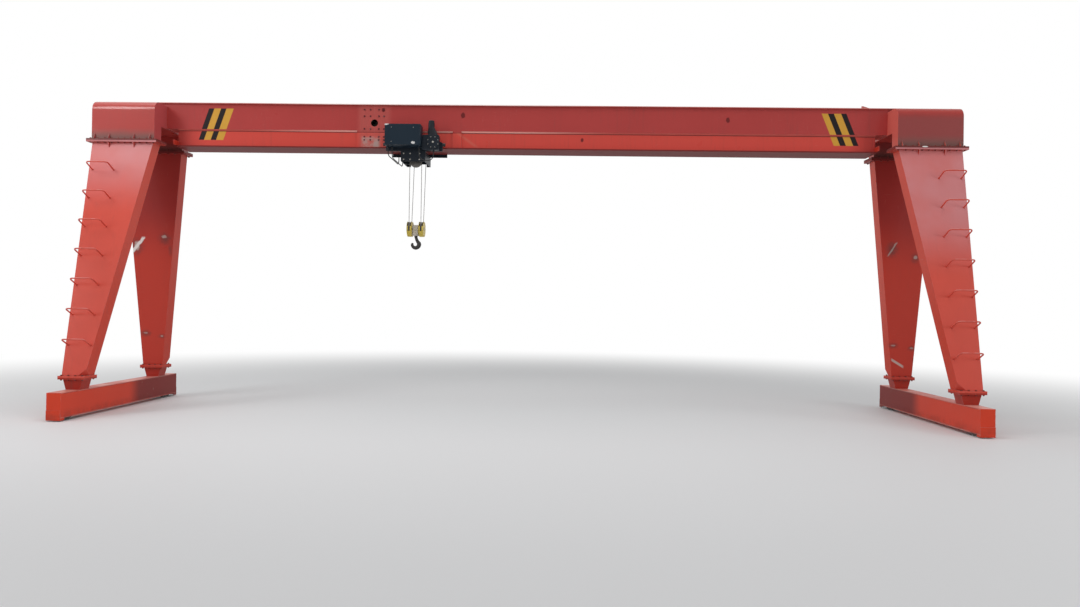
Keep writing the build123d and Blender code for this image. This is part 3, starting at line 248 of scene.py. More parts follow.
def cover(finish, mask, colour, roughness=None, metal=None, lift=None, amount=None):  # lays a finish over the last one
    tree = finish.tree
    if amount is not None:
        mask = times(tree, mask, amount)
    finish.colour = mixColour(tree, mask, finish.colour, colour)
    if roughness is not None:
        finish.roughness = mixValue(tree, mask, finish.roughness, roughness)
    if metal is not None:
        finish.metal = mixValue(tree, mask, finish.metal, metal)
    if lift is not None:
        finish.height = plus(tree, finish.height, times(tree, mask, lift))


def wear(finish, rub=0.5, width=0.006, dust=0.4, grime=0.35, scratch=0.4, bare=(0.35, 0.32, 0.3),
         dirt=(0.09, 0.07, 0.06), scraped=(0.56, 0.3, 0.25), dusty=(0.4, 0.3, 0.27)):
    cover(finish, maskOf(finish, grimeRuns, Scale=5.0, Amount=grime), dirt, roughness=0.62)
    cover(finish, maskOf(finish, fineScratches, Scale=7.0, Amount=scratch), scraped, roughness=0.5)
    cover(finish, maskOf(finish, edgeRub, Width=width, Amount=rub), bare, roughness=0.42, lift=-0.1)
    cover(finish, maskOf(finish, dustFall, Amount=dust), dusty, roughness=0.85)


def endFinish(finish, bump=0.002):
    tree = finish.tree
    bumped = addNode(tree, "ShaderNodeBump", {"Height": finish.height, "Distance": bump, "Strength": 1.0})
    shader = addNode(tree, "ShaderNodeBsdfPrincipled", {
        "Base Color": finish.colour, "Roughness": finish.roughness, "Metallic": finish.metal,
        "Coat Weight": finish.coat, "Coat Roughness": 0.12, "Specular IOR Level": finish.gloss,
        "Normal": bumped.outputs[0]})
    addNode(tree, "ShaderNodeOutputMaterial", {"Surface": shader.outputs[0]})
    return finish.material


craneRed = {"colour": (0.5, 0.038, 0.022), "roughness": 0.3, "coat": 0.06, "gloss": 0.12}


def craneFinish(name, tint):
    colour = [part * amount for part, amount in zip(craneRed["colour"], tint)]
    finish = startFinish(name, colour, craneRed["roughness"])
    finish.coat, finish.gloss = craneRed["coat"], craneRed["gloss"]
    return finish


def girderFinish():
    at = {"lower": (4.04, 4.29), "ends": (4.85, 5.35), "endsTop": (4.3, 4.29), "splice": (-2.52, -2.04),
          "paleX": (-2.47, -2.2), "paleZ": (4.055, 4.215), "stripes": (4.152, 4.632), "flange": (4.054, 4.048),
          "middle": (-3.5, 0.6), "topEdge": (4.7, 4.702), "bevel": (4.293, 4.313), "seam": (4.283, 4.292),
          "track": (4.045, 4.049), "rolled": (0.168, 0.219), "web": -0.16,
          "glareBand": (4.93, 4.99), "glareBandZ": (4.08, 4.29)}
    tone = {"lower": (0.66, 0.076, 0.058), "saddleShadow": (0.3, 0.03, 0.028), "splice": (0.56, 0.14, 0.12),
            "pale": (0.5, 0.34, 0.31), "yellow": (0.66, 0.35, 0.05), "black": (0.012, 0.008, 0.009),
            "flange": (0.17, 0.022, 0.02), "topEdge": ((0.6, 0.2, 0.18), (0.9, 0.66, 0.62)),
            "bevel": ((0.62, 0.12, 0.1), (0.95, 0.48, 0.42)), "seam": (0.14, 0.02, 0.02), "steel": (0.4, 0.37, 0.35),
            "hole": (0.16, 0.02, 0.02), "glareBand": (0.62, 0.18, 0.13)}
    stripes = [{"lean": -0.343, "level": 4.625, "tones": ("black", "yellow"),
                "borders": (-4.842, -4.76, -4.656, -4.572, -4.46)},
               {"lean": 0.405, "level": 4.617, "tones": ("yellow", "black"),
                "borders": (4.512, 4.607, 4.696, 4.804, 4.883)}]
    holes = ((-0.923, 4.557, 0.04), (-2.144, 4.63, 0.03), (0.9, 4.2, 0.03), (3.1, 4.52, 0.035))
    finish = craneFinish("girderPaint", (0.9, 1.5, 2.4))
    tree, x, z = finish.tree, finish.x, finish.z
    cover(finish, band(tree, z, *at["lower"], soft=0.003), tone["lower"])  # lower panel, a little lighter
    ends = times(tree, bothWays(tree, x, *at["ends"]), step(tree, z, *at["endsTop"]))
    cover(finish, ends, tone["saddleShadow"], amount=0.6)  # painted shadow: the saddles' shadows darken the girder's ends
    cover(finish, band(tree, x, *at["splice"], soft=0.05), tone["splice"], 0.45, amount=0.4)
    pale = times(tree, band(tree, x, *at["paleX"], soft=0.03), band(tree, z, *at["paleZ"], soft=0.03),
                 patches(finish, 9.0, 5.0, 0.3, 0.6, roughness=0.7))
    cover(finish, pale, tone["pale"], 0.6)
    wear(finish, rub=0.45, dust=0.75, grime=0.2, scratch=0.2)
    wall = bothWays(tree, finish.faceY, 0.85, 0.95)
    height = band(tree, z, *at["stripes"], soft=0.003)
    worn = patches(finish, 14.0, 6.0, 0.25, 0.33, roughness=0.75)
    for row in stripes:
        slid = plus(tree, x, times(tree, minus(tree, z, row["level"]), row["lean"]))
        for number, borders in enumerate(zip(row["borders"], row["borders"][1:])):
            stripe = times(tree, band(tree, slid, *borders, soft=0.003), wall, height, worn)
            cover(finish, stripe, tone[row["tones"][number % 2]], 0.42)
    cover(finish, step(tree, z, *at["flange"]), tone["flange"], 0.6)
    middle = band(tree, x, *at["middle"], soft=0.9)
    topEdge = times(tree, step(tree, z, *at["topEdge"]), wall)
    bevel = times(tree, band(tree, z, *at["bevel"], soft=0.001), step(tree, finish.faceZ, -0.5, -0.65))
    for name, edge in (("topEdge", topEdge), ("bevel", bevel)):  # painted highlight: the top plate's edge and the bevel lit pale, palest in the middle of the span
        cover(finish, edge, mixColour(tree, middle, *tone[name]))
    # painted shade: a dark line under the bevel's step
    cover(finish, times(tree, band(tree, z, *at["seam"], soft=0.002), wall), tone["seam"], 0.6)
    track = times(tree, step(tree, z, *at["track"]), step(tree, finish.faceZ, 0.5, 0.9),
                  band(tree, unsigned(tree, finish.y), *at["rolled"], soft=0.003))
    cover(finish, track, tone["steel"], 0.3)  # rolled bright by the trolley's wheels
    for along, level, size in holes:
        cover(finish, spot(finish, (along, at["web"], level), (size, 0.05, size * 1.4)), tone["hole"], 0.5)
    # painted highlight: a diagonal band of glare across the lower web
    glareBand = band(tree, plus(tree, x, times(tree, z, 1.39)), *at["glareBand"], soft=0.03)
    glareBand = times(tree, glareBand, band(tree, z, *at["glareBandZ"], soft=0.02), wall)
    cover(finish, glareBand, tone["glareBand"], amount=0.4)
    return endFinish(finish)


def saddleFinish():
    at = {"bend": (4.62, 4.45), "base": 4.075, "dusty": 4.2, "plate": (4.072, 4.069), "chip": (5.86, -0.575, 4.06)}
    tone = {"shadedFront": (0.31, 0.066, 0.063), "left": (0.47, 0.08, 0.082), "right": (0.63, 0.125, 0.1),
            "dusty": (0.18, 0.1, 0.088), "plate": (0.2, 0.075, 0.07), "rim": (0.15, 0.026, 0.024),
            "chip": (0.85, 0.82, 0.8)}
    coats = {"left": 0.45, "right": 0.02}  # the right one has lost its gloss
    finish = craneFinish("saddlePaint", (0.86, 1.3, 1.9))
    tree, z = finish.tree, finish.z
    right = step(tree, finish.x, -1.0, 1.0)
    shadedFront = times(tree, right, step(tree, finish.faceY, -0.1, -0.6), step(tree, z, *at["bend"]))
    cover(finish, shadedFront, tone["shadedFront"])  # painted shade: the right saddle's front darker below the bend
    # painted light: the inner side faces get their own lighter red, the right one lighter than the left
    cover(finish, bothWays(tree, finish.faceX, 0.6, 0.9), mixColour(tree, right, tone["left"], tone["right"]))
    wear(finish, rub=0.3, dust=0.15, grime=0.12, scratch=0.15)
    top = plus(tree, at["dusty"], times(tree, noise(tree, finish.place, 5.0, 5.0, 0.7), 0.12))
    dusty = times(tree, minus(tree, 1.0, step(tree, z, at["base"], top)), bothWays(tree, finish.faceY, 0.6, 0.95))
    cover(finish, dusty, tone["dusty"], 0.7, amount=0.9)
    plate = step(tree, z, *at["plate"])
    cover(finish, plate, tone["plate"], 0.6, amount=0.6)
    cover(finish, times(tree, plate, bothWays(tree, finish.faceZ, 0.6, 0.3)), tone["rim"], 0.55, amount=0.85)
    cover(finish, spot(finish, at["chip"], (0.05, 0.03, 0.012)), tone["chip"], 0.5)
    finish.coat = step(tree, finish.x, -1.0, 1.0, coats["left"], coats["right"])
    return endFinish(finish)


def legFinish():
    at = {"rear": (-0.2, 0.2), "shaded": (2.2, 3.3), "topPlate": (4.018, 4.022), "fadeLeft": 2.9, "fadeRight": 2.1,
          "fadeOver": 1.1, "front": (-0.3, -0.45), "behind": (0.2, 0.4)}
    tone = {"rear": (0.56, 0.058, 0.038), "shaded": (0.28, 0.032, 0.032), "sides": (0.64, 0.043, 0.014),
            "topPlate": (0.17, 0.03, 0.028), "glareSheen": (0.66, 0.27, 0.28)}
    marks = {"stubShade": {"colour": (0.13, 0.06, 0.058), "roughness": 0.7, "core": 0.0},
             "bare": {"colour": (0.55, 0.45, 0.41), "roughness": 0.4, "core": 0.55},
             "stub": {"colour": (0.08, 0.04, 0.04), "roughness": 0.7, "core": 0.0}}
    # ends of brackets that were burnt off, drawn in paint rather than modelled: a dark patch of painted shade round
    # each and pale spots, partly bare metal and partly painted highlight; centre, width, height and strength
    spots = [
        ("stubShade", (-6.36, 0.592, 2.545), 0.17, 0.2, 0.75), ("stubShade", (-5.87, 0.57, 2.68), 0.15, 0.14, 0.7),
        ("stubShade", (-5.8, 0.6, 2.5), 0.05, 0.14, 0.5), ("stubShade", (-6.32, 0.85, 1.12), 0.12, 0.08, 0.7),
        ("stubShade", (-6.05, 0.86, 1.07), 0.08, 0.06, 0.7), ("stubShade", (5.9, 0.572, 2.65), 0.14, 0.18, 0.75),
        ("stubShade", (6.28, 0.596, 2.52), 0.1, 0.12, 0.65), ("stubShade", (6.05, 0.854, 1.1), 0.11, 0.07, 0.7),
        ("stubShade", (6.36, 0.861, 1.06), 0.09, 0.07, 0.7), ("stubShade", (6.42, 0.898, 0.86), 0.06, 0.07, 0.6),
        ("bare", (-5.88, 0.563, 2.71), 0.05, 0.03, 0.75), ("bare", (-6.32, 0.85, 1.125), 0.045, 0.018, 0.5),
        ("bare", (-6.05, 0.86, 1.075), 0.028, 0.018, 0.6), ("bare", (6.28, 0.596, 2.53), 0.035, 0.035, 0.7),
        ("bare", (6.05, 0.854, 1.105), 0.05, 0.018, 0.5), ("bare", (6.36, 0.861, 1.065), 0.035, 0.018, 0.5),
        ("bare", (6.42, 0.898, 0.87), 0.018, 0.04, 0.7), ("stub", (-6.25, 0.57, 2.63), 0.03, 0.03, 0.7),
        ("bare", (-6.345, 0.592, 2.56), 0.05, 0.09, 0.9),
    ]
    # pale scrapes across the rear legs: z is slope * x + offset along each, and half is half its width
    scrapes = [{"slope": 1.109, "offset": 9.596, "half": 0.036, "z": (2.42, 2.7), "x": (-6.5, -6.2),
                "colour": (0.85, 0.82, 0.79)},
               {"slope": 1.683, "offset": -7.284, "half": 0.022, "z": (2.55, 2.76), "x": (5.8, 6.0),
                "colour": (0.42, 0.32, 0.29)}]
    rod = {"slope": 0.585, "offset": 4.41, "half": 0.02, "x": (6.05, 6.25)}
    # painted highlight: the legs are mixed paler and pinker than the other red parts, standing in for glare on their
    # fronts
    finish = craneFinish("legPaint", (1.38, 2.45, 2.9))
    tree, x, y, z = finish.tree, finish.x, finish.y, finish.z
    rear = step(tree, y, *at["rear"])
    cover(finish, rear, tone["rear"])  # painted shade: the rear legs darker and deeper red than the front ones
    cover(finish, times(tree, rear, step(tree, z, *at["shaded"])), tone["shaded"], amount=0.75)  # painted shade: darker towards the top, under the saddles
    sides = times(tree, bothWays(tree, finish.faceX, 0.6, 0.9), step(tree, x, -2.0, 2.0, 0.6, 1.0))
    cover(finish, sides, tone["sides"])  # painted shade: the side faces a darker, deeper red than the fronts, fully on the right and partly on the left
    wear(finish, rub=0.4, dust=0.4, grime=0.1, scratch=0.2)
    cover(finish, step(tree, z, *at["topPlate"]), tone["topPlate"], 0.6, amount=0.85)
    fadeStart = step(tree, x, -2.0, 2.0, at["fadeLeft"], at["fadeRight"])
    high = step(tree, z, fadeStart, plus(tree, fadeStart, at["fadeOver"]))
    glareSheen = times(tree, high, step(tree, y, *at["front"]), step(tree, finish.faceY, -0.85, -0.95),
                  patches(finish, 1.3, 3.0, 0.2, 0.7, start=0.5, end=0.9))
    cover(finish, glareSheen, tone["glareSheen"], 0.4)  # painted highlight: a pale pink sheen on the front faces towards the top
    for kind, centre, width, height, amount in spots:
        mark = marks[kind]
        mask = spot(finish, centre, (width, 0.1, height), ragged=0.5, core=mark["core"])
        cover(finish, mask, mark["colour"], mark["roughness"], amount=amount)
    back = times(tree, step(tree, y, *at["behind"]), step(tree, finish.faceY, -0.5, -0.8))
    for scrape in scrapes:
        line = minus(tree, z, plus(tree, times(tree, x, scrape["slope"]), scrape["offset"]))
        ragged = times(tree, minus(tree, noise(tree, finish.place, 17.0, 4.0), 0.5), 0.07)
        cut = band(tree, plus(tree, line, ragged), -scrape["half"], scrape["half"], soft=0.012)
        mask = times(tree, cut, back, band(tree, z, *scrape["z"], soft=0.02), band(tree, x, *scrape["x"], soft=0.01))
        cover(finish, mask, scrape["colour"], 0.35)
    line = minus(tree, z, minus(tree, rod["offset"], times(tree, x, rod["slope"])))
    line = band(tree, line, -rod["half"], rod["half"], soft=0.01)
    mask = times(tree, line, back, band(tree, x, *rod["x"], soft=0.02))
    cover(finish, mask, marks["bare"]["colour"], 0.5)
    return endFinish(finish)


def carriageFinish():
    at = {"rearShade": (0.05, 0.42), "kicked": (0.19, 0.06), "lipHighlights": ((0.045, 0.057), (0.378, 0.39))}
    tone = {"rearShade": (0.24, 0.022, 0.017), "kicked": (0.16, 0.045, 0.035), "lipHighlights": (0.62, 0.3, 0.26),
            "topHighlight": (0.82, 0.42, 0.36)}
    finish = craneFinish("carriagePaint", (1.42, 1.6, 1.2))
    tree, z = finish.tree, finish.z
    rearShade = times(tree, step(tree, finish.y, *at["rearShade"]), bothWays(tree, finish.faceZ, 0.6, 0.3))
    cover(finish, rearShade, tone["rearShade"])  # painted shade: the carriages darker towards the rear
    wear(finish, rub=0.6, width=0.008, dust=0.5, grime=0.05, scratch=0.3)
    kicked = times(tree, step(tree, z, *at["kicked"]), patches(finish, 6.0, 6.0, 0.35, 0.65, roughness=0.7))
    cover(finish, kicked, tone["kicked"], 0.7, amount=0.35)
    # painted highlight: pale lines along the top and bottom lips of the sides
    lipHighlights = calc(tree, "MAXIMUM", *[band(tree, z, *lip, soft=0.002) for lip in at["lipHighlights"]])
    cover(finish, times(tree, lipHighlights, bothWays(tree, finish.faceX, 0.6, 0.9)), tone["lipHighlights"], 0.5, amount=0.45)
    # painted highlight: pale salmon patches on the faces that look up
    topHighlight = times(tree, step(tree, finish.faceZ, 0.7, 0.95), patches(finish, 2.3, 5.0, 0.42, 0.6, roughness=0.6))
    cover(finish, topHighlight, tone["topHighlight"], 0.5, amount=0.6)
    return endFinish(finish)


def plainFinish(name, tint, rub, dust, grime):
    finish = craneFinish(name, tint)
    wear(finish, rub=rub, dust=dust, grime=grime)
    return endFinish(finish)


def stepFinish():
    finish = craneFinish("stepPaint", (1.3, 2.2, 2.6))
    finish.coat, finish.gloss = 0.1, 0.2
    wear(finish, rub=0.2, dust=0.3, grime=0.2)
    troddenAndLit = times(finish.tree, step(finish.tree, finish.faceZ, 0.4, 0.9), patches(finish, 12.0, 4.0, 0.4, 0.55))
    cover(finish, troddenAndLit, (0.7, 0.4, 0.38), 0.3)  # lighter on top: trodden wear, and painted highlight
    return endFinish(finish)


def machineFinish(name, colour, roughness, dust=0.5, rub=0.5, coat=0.1, scratch=0.3, grime=0.4, glintSpots=()):
    finish = startFinish(name, colour, roughness, 0.2)
    finish.coat, finish.gloss = coat, 0.12
    wear(finish, rub=rub, width=0.004, dust=dust, grime=grime, scratch=scratch, bare=(0.3, 0.29, 0.28),
         dirt=(0.03, 0.026, 0.023), scraped=[min(1.0, part * 1.6 + 0.03) for part in colour],
         dusty=(0.17, 0.155, 0.145))
    # painted highlight: a pale spot at each glint
    for centre, size in glintSpots:
        cover(finish, spot(finish, centre, size, ragged=0.7), (0.8, 0.79, 0.78), 0.4)
    return endFinish(finish)


def steelFinish(name, colour, roughness, metal=0.9, stain=0.4, rust=0.15):
    finish = startFinish(name, colour, roughness, 0.25, metal)
    cover(finish, maskOf(finish, grimeRuns, Scale=18.0, Amount=stain), (0.04, 0.035, 0.03), 0.6, metal=0.2)
    bloom = patches(finish, 24.0, 6.0, 0.58, 0.72, roughness=0.7)
    cover(finish, bloom, (0.19, 0.07, 0.03), 0.85, metal=0.0, amount=rust)
    cover(finish, maskOf(finish, dustFall, Amount=0.3), (0.3, 0.27, 0.25), 0.8, metal=0.1)
    return endFinish(finish, bump=0.001)


def wheelFinish():
    wheel = {"side": 1.34, "height": 0.14, "tread": 0.125, "flange": 0.14, "axle": 0.029}
    tone = {"dirt": (0.03, 0.025, 0.022), "tread": (0.5, 0.47, 0.44), "flange": (0.4, 0.37, 0.35),
            "axle": (0.42, 0.4, 0.37)}
    finish = startFinish("wheelSteel", (0.085, 0.078, 0.072), 0.6, 0.25)
    tree = finish.tree
    along = minus(tree, unsigned(tree, finish.y), wheel["side"])
    above = minus(tree, finish.z, wheel["height"])
    radius = calc(tree, "SQRT", plus(tree, times(tree, along, along), times(tree, above, above)))
    cover(finish, maskOf(finish, grimeRuns, Scale=14.0, Amount=0.6), tone["dirt"], 0.7)
    tread, flange = (step(tree, radius, wheel[part] - 0.004, wheel[part] - 0.001) for part in ("tread", "flange"))
    cover(finish, times(tree, tread, bothWays(tree, finish.faceX, 0.75, 0.5)), tone["tread"], 0.25, metal=0.95)
    cover(finish, flange, tone["flange"], 0.35, metal=0.85)
    cover(finish, step(tree, radius, wheel["axle"], wheel["axle"] - 0.0015), tone["axle"], 0.35, metal=0.9)
    return endFinish(finish, bump=0.001)


def ropeFinish():
    finish = startFinish("ropeSteel", (0.2, 0.185, 0.17), 0.42, 0.3, 0.75)
    tree = finish.tree
    wires = noise(tree, stretch(tree, finish.place, (1.0, 1.0, 0.22)), 900.0, 2.0, 0.5)
    finish.height = plus(tree, finish.height, wires)
    cover(finish, patches(finish, 40.0, 3.0, 0.5, 0.65), (0.035, 0.03, 0.026), 0.3, metal=0.3)  # grease
    return endFinish(finish, bump=0.0006)


def rubberFinish(name, colour):
    finish = startFinish(name, colour, 0.68, 0.3)
    cover(finish, maskOf(finish, dustFall, Amount=0.5), (0.2, 0.18, 0.17), 0.9)
    cover(finish, maskOf(finish, grimeRuns, Scale=20.0, Amount=0.5), (0.1, 0.09, 0.085), 0.8)
    return endFinish(finish, bump=0.0006)


# painted highlights on the cabinet: a glint on its top left corner and one low on its front
cabinetGlints = (((-2.035, -0.45, 4.35), (0.05, 0.03, 0.016)), ((-1.63, -0.45, 4.075), (0.032, 0.02, 0.022)))
finishes = {
    "girder": girderFinish(),
    "saddle": saddleFinish(),
    "leg": legFinish(),
    "carriage": carriageFinish(),
    "seat": plainFinish("seatPaint", (0.85, 0.9, 0.9), rub=0.5, dust=0.4, grime=0.4),
    "trim": plainFinish("trimPaint", (0.95, 1.0, 1.0), rub=0.7, dust=0.5, grime=0.5),
    "weld": plainFinish("weldPaint", (0.9, 1.0, 1.05), rub=0.2, dust=0.4, grime=0.4),
    "step": stepFinish(),
    "boltPaint": plainFinish("boltPaint", (0.4, 0.5, 0.65), rub=0.2, dust=0.25, grime=0.6),
    "darkBolt": machineFinish("spliceBoltPaint", (0.13, 0.022, 0.03), 0.45, dust=0.2),
    "hoist": machineFinish("hoistPaint", (0.014, 0.019, 0.027), 0.42, coat=0.03),
    "cabinet": machineFinish("cabinetPaint", (0.012, 0.023, 0.036), 0.36, rub=0.6, dust=0.35, coat=0.03,
                             scratch=0.25, glintSpots=cabinetGlints),
    "motor": machineFinish("motorPaint", (0.018, 0.024, 0.03), 0.45, coat=0.03),
    "driveTip": machineFinish("driveMotorPaint", (0.022, 0.024, 0.03), 0.45, coat=0.03),
    "yellow": machineFinish("blockPaint", (0.66, 0.5, 0.09), 0.4, dust=0.3, rub=0.7, scratch=0.5, grime=0.6),
    "pale": machineFinish("crossheadPaint", (0.62, 0.58, 0.52), 0.5, dust=0.3, rub=0.4, grime=0.35),
    "wheel": wheelFinish(),
    "castWheel": steelFinish("sheaveSteel", (0.16, 0.15, 0.14), 0.45, metal=0.7),
    "steel": steelFinish("machinedSteel", (0.42, 0.4, 0.37), 0.36),
    "bolt": steelFinish("boltSteel", (0.36, 0.34, 0.31), 0.4, metal=0.85, stain=0.5, rust=0.35),
    "hook": steelFinish("hookSteel", (0.035, 0.033, 0.032), 0.5, metal=0.4, stain=0.3, rust=0.2),
    "rope": ropeFinish(),
    "rubber": rubberFinish("bufferRubber", (0.014, 0.014, 0.014)),
    "cable": rubberFinish("cableSheath", (0.012, 0.012, 0.013)),
}

dressing = {
    "girder": ["girder_left", "girder_right"],
    "saddle": ["saddle_left", "saddle_right"],
    "leg": ["leg_front_left", "leg_front_right", "leg_rear_left", "leg_rear_right"],
    "carriage": ["end_carriage_left", "end_carriage_right", "rail_sweepers"],
    "seat": ["leg_seats_left", "leg_seats_right"],
    "trim": ["runway_stops"],
    "step": ["step_irons_left", "step_irons_right"],
    "steel": ["bearing_caps", "girder_splice_plates", "block_axle"],
    "motor": ["travel_drives", "hoist_motor"],
    "hoist": ["trolley_side_plates", "trolley_yoke", "drum_supports", "hoist_gearbox", "trolley_drive_case"],
    "driveTip": ["trolley_drive_motor"],
    "cabinet": ["hoist_cabinet"],
    "castWheel": ["trolley_wheels", "return_sheave", "block_sheaves", "rope_drum"],
    "rubber": ["trolley_buffers"],
    "cable": ["hoist_cables"],
    "yellow": ["block_covers"],
    "pale": ["block_crosshead"],
    "hook": ["lifting_hook"],
    "rope": ["return_rope", "block_ropes", "rope_falls_front", "rope_falls_rear"],
    "wheel": ["travel_wheel_front_left", "travel_wheel_front_right",
              "travel_wheel_rear_left", "travel_wheel_rear_right"],
}
for finishName, names in dressing.items():
    for name in names:
        nodes[name].data.materials.clear()
        nodes[name].data.materials.append(finishes[finishName])
print("finishes made:", len(finishes))


def newGrower(name, inputs):  # every geometry tree grows on a mesh and takes a material
    return newTree("GeometryNodeTree", name, [("Geometry", "Geometry"), *inputs, ("Material", "Material")],
                   [("Geometry", "Geometry")])


def geo(tree, kind, inputs=None, **settings):
    return addNode(tree, "GeometryNode" + kind, inputs, **settings).outputs[0]


def attribute(tree, name, kind):
    return geo(tree, "InputNamedAttribute", {"Name": name}, data_type=kind)


def chance(tree, entry, low, high):
    inputs = {2: low, 3: high, "Seed": entry["Seed"]}
    return addNode(tree, "FunctionNodeRandomValue", inputs, data_type="FLOAT").outputs[1]


def plain(tree, geometry, entry, leave):  # every tree ends alike
    real = geo(tree, "RealizeInstances", {0: geometry})
    feed(tree, leave["Geometry"], geo(tree, "SetMaterial", {"Geometry": real, "Material": entry["Material"]}))
    return tree


def grow(name, mesh, tree, values, body):
    piece = bpy.data.objects.new(name, mesh)
    bpy.context.scene.collection.objects.link(piece)
    modifier = piece.modifiers.new("tree", "NODES")
    modifier.node_group = tree
    sockets = {item.name: item.identifier for item in tree.interface.items_tree if item.in_out == "INPUT"}
    for label, value in values.items():
        modifier[sockets[label]] = value
    bpy.context.view_layer.update()
    done = bpy.data.meshes.new_from_object(piece.evaluated_get(bpy.context.evaluated_depsgraph_get()))
    piece.modifiers.clear()
    piece.data = done
    done.name = name
    if body:
        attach(piece, body)
    return piece


# Bolts: the washer, hex head and shank end stand on every point, along its "axis", as large as its "size"
boltShape = {"washer": 0.16, "head": 0.87, "chamfer": (0.68, 0.8, 0.1), "shank": (0.42, 0.5, 0.3), "shankBase": 0.2,
             "sides": 18, "shankSides": 14, "turn": 6.283}


def boltTree():
    tree, entry, leave = newGrower("boltHeads", [("Head Height", "Float", 0.62), ("Washer Width", "Float", 1.9),
                                                 ("Seed", "Int", 4)])
    height, thick = entry["Head Height"], boltShape["washer"]
    washer = {"Vertices": boltShape["sides"], "Radius": times(tree, entry["Washer Width"], 0.5), "Depth": thick}
    head = {"Vertices": 6, "Radius": boltShape["head"], "Depth": height}
    parts = [(geo(tree, "MeshCylinder", washer), thick / 2),
             (geo(tree, "MeshCylinder", head), plus(tree, thick, times(tree, height, 0.5)))]
    for part, sides, base in (("chamfer", boltShape["sides"], thick),
                              ("shank", boltShape["shankSides"], boltShape["shankBase"])):
        top, bottom, depth = boltShape[part]
        cone = {"Vertices": sides, "Radius Top": top, "Radius Bottom": bottom, "Depth": depth}
        parts.append((geo(tree, "MeshCone", cone), plus(tree, base, height)))
    joined = addNode(tree, "GeometryNodeJoinGeometry")
    for shape, rise in parts:
        place = addNode(tree, "ShaderNodeCombineXYZ", {"Z": rise}).outputs[0]
        feed(tree, joined.inputs[0], geo(tree, "Transform", {"Geometry": shape, "Translation": place}))
    axis, size = attribute(tree, "axis", "FLOAT_VECTOR"), attribute(tree, "size", "FLOAT")
    aimed = addNode(tree, "FunctionNodeAlignRotationToVector", {"Vector": axis}, axis="Z").outputs[0]
    around = {"Axis": (0.0, 0.0, 1.0), "Angle": chance(tree, entry, 0.0, boltShape["turn"])}
    spun = addNode(tree, "FunctionNodeAxisAngleToRotation", around).outputs[0]
    turned = addNode(tree, "FunctionNodeRotateRotation", {"Rotation": aimed, "Rotate By": spun}, rotation_space="LOCAL")
    placed = geo(tree, "InstanceOnPoints", {"Points": entry["Geometry"], "Instance": joined.outputs[0],
                                            "Rotation": turned.outputs[0], "Scale": size})
    return plain(tree, placed, entry, leave)


def boltPoints(name, bolts):  # each bolt is a place, an axis and a size
    mesh = bpy.data.meshes.new(name)
    mesh.from_pydata([bolt[0] for bolt in bolts], [], [])
    axes = [part for bolt in bolts for part in bolt[1]]
    mesh.attributes.new("axis", "FLOAT_VECTOR", "POINT").data.foreach_set("vector", axes)
    mesh.attributes.new("size", "FLOAT", "POINT").data.foreach_set("value", [bolt[2] for bolt in bolts])
    return mesh


# Welds: a rippled bead along every edge of a wire mesh
def alongWires(tree, entry):
    curve = geo(tree, "MeshToCurve", {0: entry["Geometry"]})
    return geo(tree, "ResampleCurve", {"Curve": curve, "Length": entry["Step"]}, mode="LENGTH")


def smoothTube(tree, inputs):
    tube = geo(tree, "CurveToMesh", {**inputs, "Fill Caps": True})
    return geo(tree, "SetShadeSmooth", {"Geometry": tube, "Shade Smooth": True})


def circle(tree, sides, width):
    return geo(tree, "CurvePrimitiveCircle", {"Resolution": sides, "Radius": times(tree, width, 0.5)})


def weldTree():
    tree, entry, leave = newGrower("weldBeads", [("Bead Width", "Float", 0.009), ("Ripple", "Float", 0.22),
                                                 ("Step", "Float", 0.012), ("Seed", "Int", 7)])
    scale = plus(tree, 1.0, times(tree, chance(tree, entry, -1.0, 1.0), entry["Ripple"]))
    profile = circle(tree, 6, entry["Bead Width"])
    bead = smoothTube(tree, {"Curve": alongWires(tree, entry), "Profile Curve": profile, "Scale": scale})
    return plain(tree, bead, entry, leave)


def wireMesh(name, runs):  # each run is a list of points, and whether it closes
    mesh = bpy.data.meshes.new(name)
    points, edges = [], []
    for corners, closed in runs:
        first = len(points)
        points += corners
        edges += [(first + number, first + number + 1) for number in range(len(corners) - 1)]
        if closed:
            edges.append((len(points) - 1, first))
    mesh.from_pydata(points, edges, [])
    return mesh


# Wire rope: strands laid round the line
ropeShape = {"strands": 6, "sides": 24, "body": 0.9, "lobe": 0.1}
ropeInputs = [("Rope Width", "Float", 0.009), ("Lay Length", "Float", 0.058)]


def laidRope(tree, curve, entry):
    along = addNode(tree, "GeometryNodeSplineParameter").outputs["Length"]
    tilt = times(tree, calc(tree, "DIVIDE", along, entry["Lay Length"]), math.tau)
    around = times(tree, geo(tree, "InputIndex"), math.tau / ropeShape["sides"])
    lobes = calc(tree, "COSINE", times(tree, around, ropeShape["strands"]))
    share = plus(tree, ropeShape["body"], times(tree, lobes, ropeShape["lobe"]))
    scaled = addNode(tree, "ShaderNodeVectorMath", {0: geo(tree, "InputPosition"), "Scale": share}, operation="SCALE")
    outline = circle(tree, ropeShape["sides"], entry["Rope Width"])
    profile = geo(tree, "SetPosition", {"Geometry": outline, "Position": scaled.outputs[0]})
    twisted = geo(tree, "SetCurveTilt", {"Curve": curve, "Tilt": tilt})
    return smoothTube(tree, {"Curve": twisted, "Profile Curve": profile})


def ropeTree():
    tree, entry, leave = newGrower("laidRope", ropeInputs + [("Step", "Float", 0.005)])
    return plain(tree, laidRope(tree, alongWires(tree, entry), entry), entry, leave)


